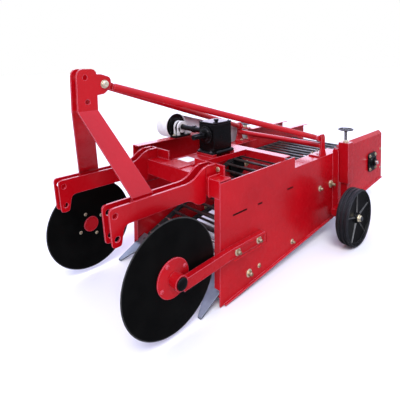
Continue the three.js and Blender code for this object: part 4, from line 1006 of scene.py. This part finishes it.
def rear_bearing():
    """The web's left rear bearing: a square flange, a round boss and four bolts."""
    low, high, mid = extent("rear_bearing")
    half = (high.z - low.z) / 2
    front, rear, bottom, top = mid.y - half, mid.y + half, mid.z - half, mid.z + half
    corners = ((front, bottom), (rear, bottom), (rear, top), (front, top))
    made = Shape(BLACK)
    made.prism(rounded(corners, FLANGE_CORNER), low.x, low.x + FLANGE_THICKNESS)
    made.place("left_bearing_flange", "black_paint", ("rear_bearing",), bevel=0.003)

    made = Shape(BLACK)
    foot = xyz(low.x + FLANGE_THICKNESS, mid.y, mid.z)
    made.lathe([(0.0175, 0), (0.052, 0), (0.047, 0.012), (0.044, 0.014), (0.04, 0.0138),
                (0.039, 0.006), (0.031, 0.006), (0.0305, 0.026), (0.028, 0.0283),
                (0.0175, 0.0283)], foot, X, 56, close=True)
    made.using(ZINC)
    inset = half - 0.024
    for y in (-inset, inset):
        for z in (-inset, inset):
            made.bolt(foot + Y * y + Z * z, X, 0.0115, 0.004)
    made.place("left_bearing_boss", "black_paint")


# ------------------------------ side plates
# Working-frame y, z, head size and stud length, all in millimetres.
PLATE_BOLTS = (
    (558, 94, 19, 12), (652, 100, 11, 0), (1006, 117, 14, 14), (1535, 372, 23, 20),
    (1374, 378, 17, 12), (1826, 376, 13, 8), (2492, 466, 9, 0), (2492, 292, 9, 0),
)
# Front, rear and height of the slots in each side plate, in millimetres.
PLATE_SLOTS = ((428, 545, 473), (650, 688, 470), (955, 1020, 479))
SLOT_X, SLOT_HALF = 407.2, 3.1
STITCHES = 9  # short welds along each plate's lower edge
STITCH_STEP = 0.21
STITCH_START, PLATE_FRONT = 500, 314
EDGE_SLOPE = 191 / 2206  # rise of the lower edge over its length
EAR_X, EAR_Z = 0.317, 0.715
SHARES = 5
SHARE_SLOPE = 0.5
LABEL_X = (-0.077, 0.026)
DECK_DROP = 0.0183  # from the gearbox's foot down to the deck's top


def plate_details():
    """The bolts and welds on the side plates, and a black strip over each slot, a painted shadow
    of the slot.
    """
    bolts = Shape(ZINC)
    welds = Shape(RED_WELD)
    slot_shadow = Shape(DISC_BLACK)
    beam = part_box("front_beam")
    for side, word in SIDES:
        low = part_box(f"{word}_side_plate")[0]
        out = X * side
        for y, z, size, stud in PLATE_BOLTS:
            place = xyz(side * PLATE_FACE, at(0, y, 0).y, z / 1000)
            bolts.bolt(place, out, size / 1000, stud / 1000)
            bolts.bolt(place - out * 0.006, -out, size / 1000)
        for i in range(STITCHES):
            y = at(0, STITCH_START, 0).y + i * STITCH_STEP
            z = low.z + (y - at(0, PLATE_FRONT, 0).y) * EDGE_SLOPE + 0.003
            start = xyz(side * (PLATE_FACE + 0.0006), y, z)
            welds.weld(start, start + xyz(0, 0.06, 0.0052), 0.003)
        low, _, mid = extent(f"{word}_brace_bracket")
        x = across(f"{word}_brace_bracket", side)[0] + side * 0.022
        for y in (mid.y - 0.036, mid.y + 0.036):
            bolts.bolt(xyz(x, y, low.z + 0.02), Z, 0.0095, 0.005)
        ear = xyz(side * EAR_X, beam[1].y, EAR_Z)
        bolts.bolt(ear, Y, 0.0115, 0.004)
        bolts.bolt(ear - Y * 0.010, -Y, 0.0115)
        # a black strip, taller than the slot and just proud of the plate: painted shadow of the
        # slot
        for start, stop, height in PLATE_SLOTS:
            slot_shadow.box(at(side * SLOT_X - SLOT_HALF, start - 2, height - 2),
                     at(side * SLOT_X + SLOT_HALF, stop + 2, height + 7))
    slot_shadow.place("painted_slot_shadow", "black_paint")
    bolts.place("plate_bolts", "zinc_plate")
    welds.place("plate_welds", "red_paint")


def share_bolts():
    """Two countersunk bolts through each share, with their nuts underneath."""
    made = Shape(DARK_STEEL)
    normal = xyz(0, -SHARE_SLOPE, 1).normalized()
    for number in range(1, SHARES + 1):
        low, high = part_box(f"share_{number}")
        for share in (0.28, 0.72):
            x, y = low.x + (high.x - low.x) * share, high.y - 0.032
            place = xyz(x, y, (y - low.y) * SHARE_SLOPE + 0.0102)
            made.lathe([(0, 0), (0.0105, 0), (0.0095, 0.0012), (0.005, 0.0014), (0.0045, 0.0004),
                        (0, 0.0004)], place, normal, 24)
            made.bolt(place - normal * 0.0245, -normal, 0.0095, 0.006)
    made.place("share_bolts", "screw_steel")


def blank_label():
    """A blank plate on the deck, where the photo shows a label."""
    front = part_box("gearbox_deck")[0].y
    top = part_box("gearbox")[0].z - DECK_DROP
    made = Shape(PALE)
    made.box(xyz(LABEL_X[0], front + LABEL_Y[0], top + 0.0002),
             xyz(LABEL_X[1], front + LABEL_Y[1], top + 0.0012))
    made.place("blank_plate", "white_paint")


CLAMP_X = 0.330
CLAMP_HALF = 0.005
CLAMP_MARGIN = 0.012
CLAMP_CORNER = 0.016


def beam_clamps():
    """A plate with rounded corners round the beam, outboard of each pair of hitch plates."""
    low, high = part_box("front_beam")
    front, bottom = low.y - CLAMP_MARGIN, low.z - CLAMP_MARGIN
    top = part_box("left_outer_hitch_plate")[1].z - 0.062 + CLAMP_MARGIN
    corners = ((front, bottom), (high.y, bottom), (high.y, top), (front, top))
    made = Shape(RED)
    for x in (CLAMP_X, -CLAMP_X):
        made.prism(rounded(corners, CLAMP_CORNER), x - CLAMP_HALF, x + CLAMP_HALF)
    made.place("beam_clamp_plates", "red_paint", bevel=0.0015)


def foot_pipe():
    """A short black pipe along the gearbox's left foot."""
    low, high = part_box("gearbox")
    made = Shape(BLACK)
    made.lathe([(0, -0.004), (0.008, -0.003), (0.0125, 0.004), (0.0135, 0.012), (0.0135, 0.03),
                (0.011, 0.031), (0.011, 0.134), (0.0128, 0.135), (0.0128, 0.15), (0.006, 0.156),
                (0, 0.156)], xyz(high.x + 0.009, low.y + 0.03, low.z + 0.012), Y, 28)
    made.place("gearbox_foot_pipe", "black_paint")


def cross_tube():
    """The tube between the braces, with a weld round each end."""
    low, high, mid = extent("cross_tube")
    made = Shape(RED)
    made.cross_rod(low.x, high.x, mid, 0.0198, 36)
    for x in (low.x + 0.003, high.x - 0.003):
        made.weld_collar(xyz(x, mid.y, mid.z), 0.0205)
    made.place("cross_tube_and_welds", "red_paint", ("cross_tube",))


# ------------------------------ stage
SKY_STOPS = ((0.0, (0.5, 0.5, 0.52, 1)), (0.3, (0.62, 0.63, 0.72, 1)),
             (0.6, (1.0, 1.05, 1.5, 1)), (0.9, (1.1, 1.15, 1.6, 1)))
FLOOR_IN_GLOSS = 0.17
FLOOR_HALF = 40
FLOOR_Z = -0.0005
# Name, direction, strength, spread in degrees and colour of each sun.
SUNS = (
    ("key", (-0.55, 0.6, -1.0), 1.9, 24, (1, 1, 1)),
    ("back", (0.72, -0.69, -0.42), 1.3, 50, (0.8, 0.74, 1.0)),
)


def mix_shaders(tree, ray, usual, special, output):
    """Shows the special shader to one kind of ray, and the usual one to the rest."""
    path = node(tree, "LightPath")
    mix = node(tree, "MixShader")
    tree.links.new(path.outputs[ray], mix.inputs["Fac"])
    tree.links.new(usual, mix.inputs[1])
    tree.links.new(special, mix.inputs[2])
    tree.links.new(mix.outputs["Shader"], output.inputs["Surface"])


def soften_reflection(material):
    """Makes the floor darker in the machine's gloss than it looks by itself."""
    tree = material.node_tree
    output = next(n for n in tree.nodes if n.type == "OUTPUT_MATERIAL")
    shader = next(n for n in tree.nodes if n.type == "BSDF_PRINCIPLED")
    dim = node(tree, "BsdfDiffuse", Color=(FLOOR_IN_GLOSS, FLOOR_IN_GLOSS, FLOOR_IN_GLOSS, 1))
    mix_shaders(tree, "Is Glossy Ray", shader.outputs["BSDF"], dim.outputs["BSDF"], output)


def add_world(scene):
    """A soft sky as a light, which the camera sees as plain white."""
    scene.world = bpy.data.worlds.new("studio")
    scene.world.use_nodes = True
    tree = scene.world.node_tree
    tree.nodes.clear()
    coords = node(tree, "TexCoord")
    split = node(tree, "SeparateXYZ")
    tree.links.new(coords.outputs["Generated"], split.inputs["Vector"])
    sky = node(tree, "Background")
    tree.links.new(ramp(tree, split.outputs["Z"], SKY_STOPS), sky.inputs["Color"])
    plain = node(tree, "Background", Color=(1, 1, 1, 1))
    output = node(tree, "OutputWorld")
    mix_shaders(tree, "Is Camera Ray", sky.outputs["Background"], plain.outputs["Background"],
                output)


def add_stage():
    """The pale floor, the world and the suns."""
    scene = bpy.context.scene
    scene.view_settings.view_transform = "Standard"
    add_world(scene)
    data = bpy.data.meshes.new("floor")
    corners = [(x * FLOOR_HALF, y * FLOOR_HALF, FLOOR_Z)
               for x, y in ((-1, -1), (1, -1), (1, 1), (-1, 1))]
    data.from_pydata(corners, [], [(0, 1, 2, 3)])
    floor = bpy.data.objects.new("floor", data)
    scene.collection.objects.link(floor)
    pale = surface("pale_floor", (0.9, 0.9, 0.9), 0.9, tone=0.01, tone_scale=0.5, specular=0.1)
    soften_reflection(pale)
    data.materials.append(pale)
    for name, way, strength, spread, colour in SUNS:
        light = bpy.data.lights.new(name, "SUN")
        light.energy = strength
        light.color = colour
        light.angle = radians(spread)
        lamp = bpy.data.objects.new(name, light)
        scene.collection.objects.link(lamp)
        lamp.rotation_mode = "QUATERNION"
        lamp.rotation_quaternion = Vector(way).to_track_quat("-Z", "Y")


add_camera()
dress_frame()
for side, word in SIDES:
    cutting_disc(side, word)
    disc_arm(side, word)
    gauge_wheel(side, word)
    wheel_leg(side, word)
    handwheel(word)
    brace(side, word)
mast_details()
rod_web()
rollers()
gearbox()
pto_stub()
cross_drive()
shaft_bearing()
drum()
rear_bearing()
plate_details()
share_bolts()
blank_label()
beam_clamps()
foot_pipe()
cross_tube()
add_stage()
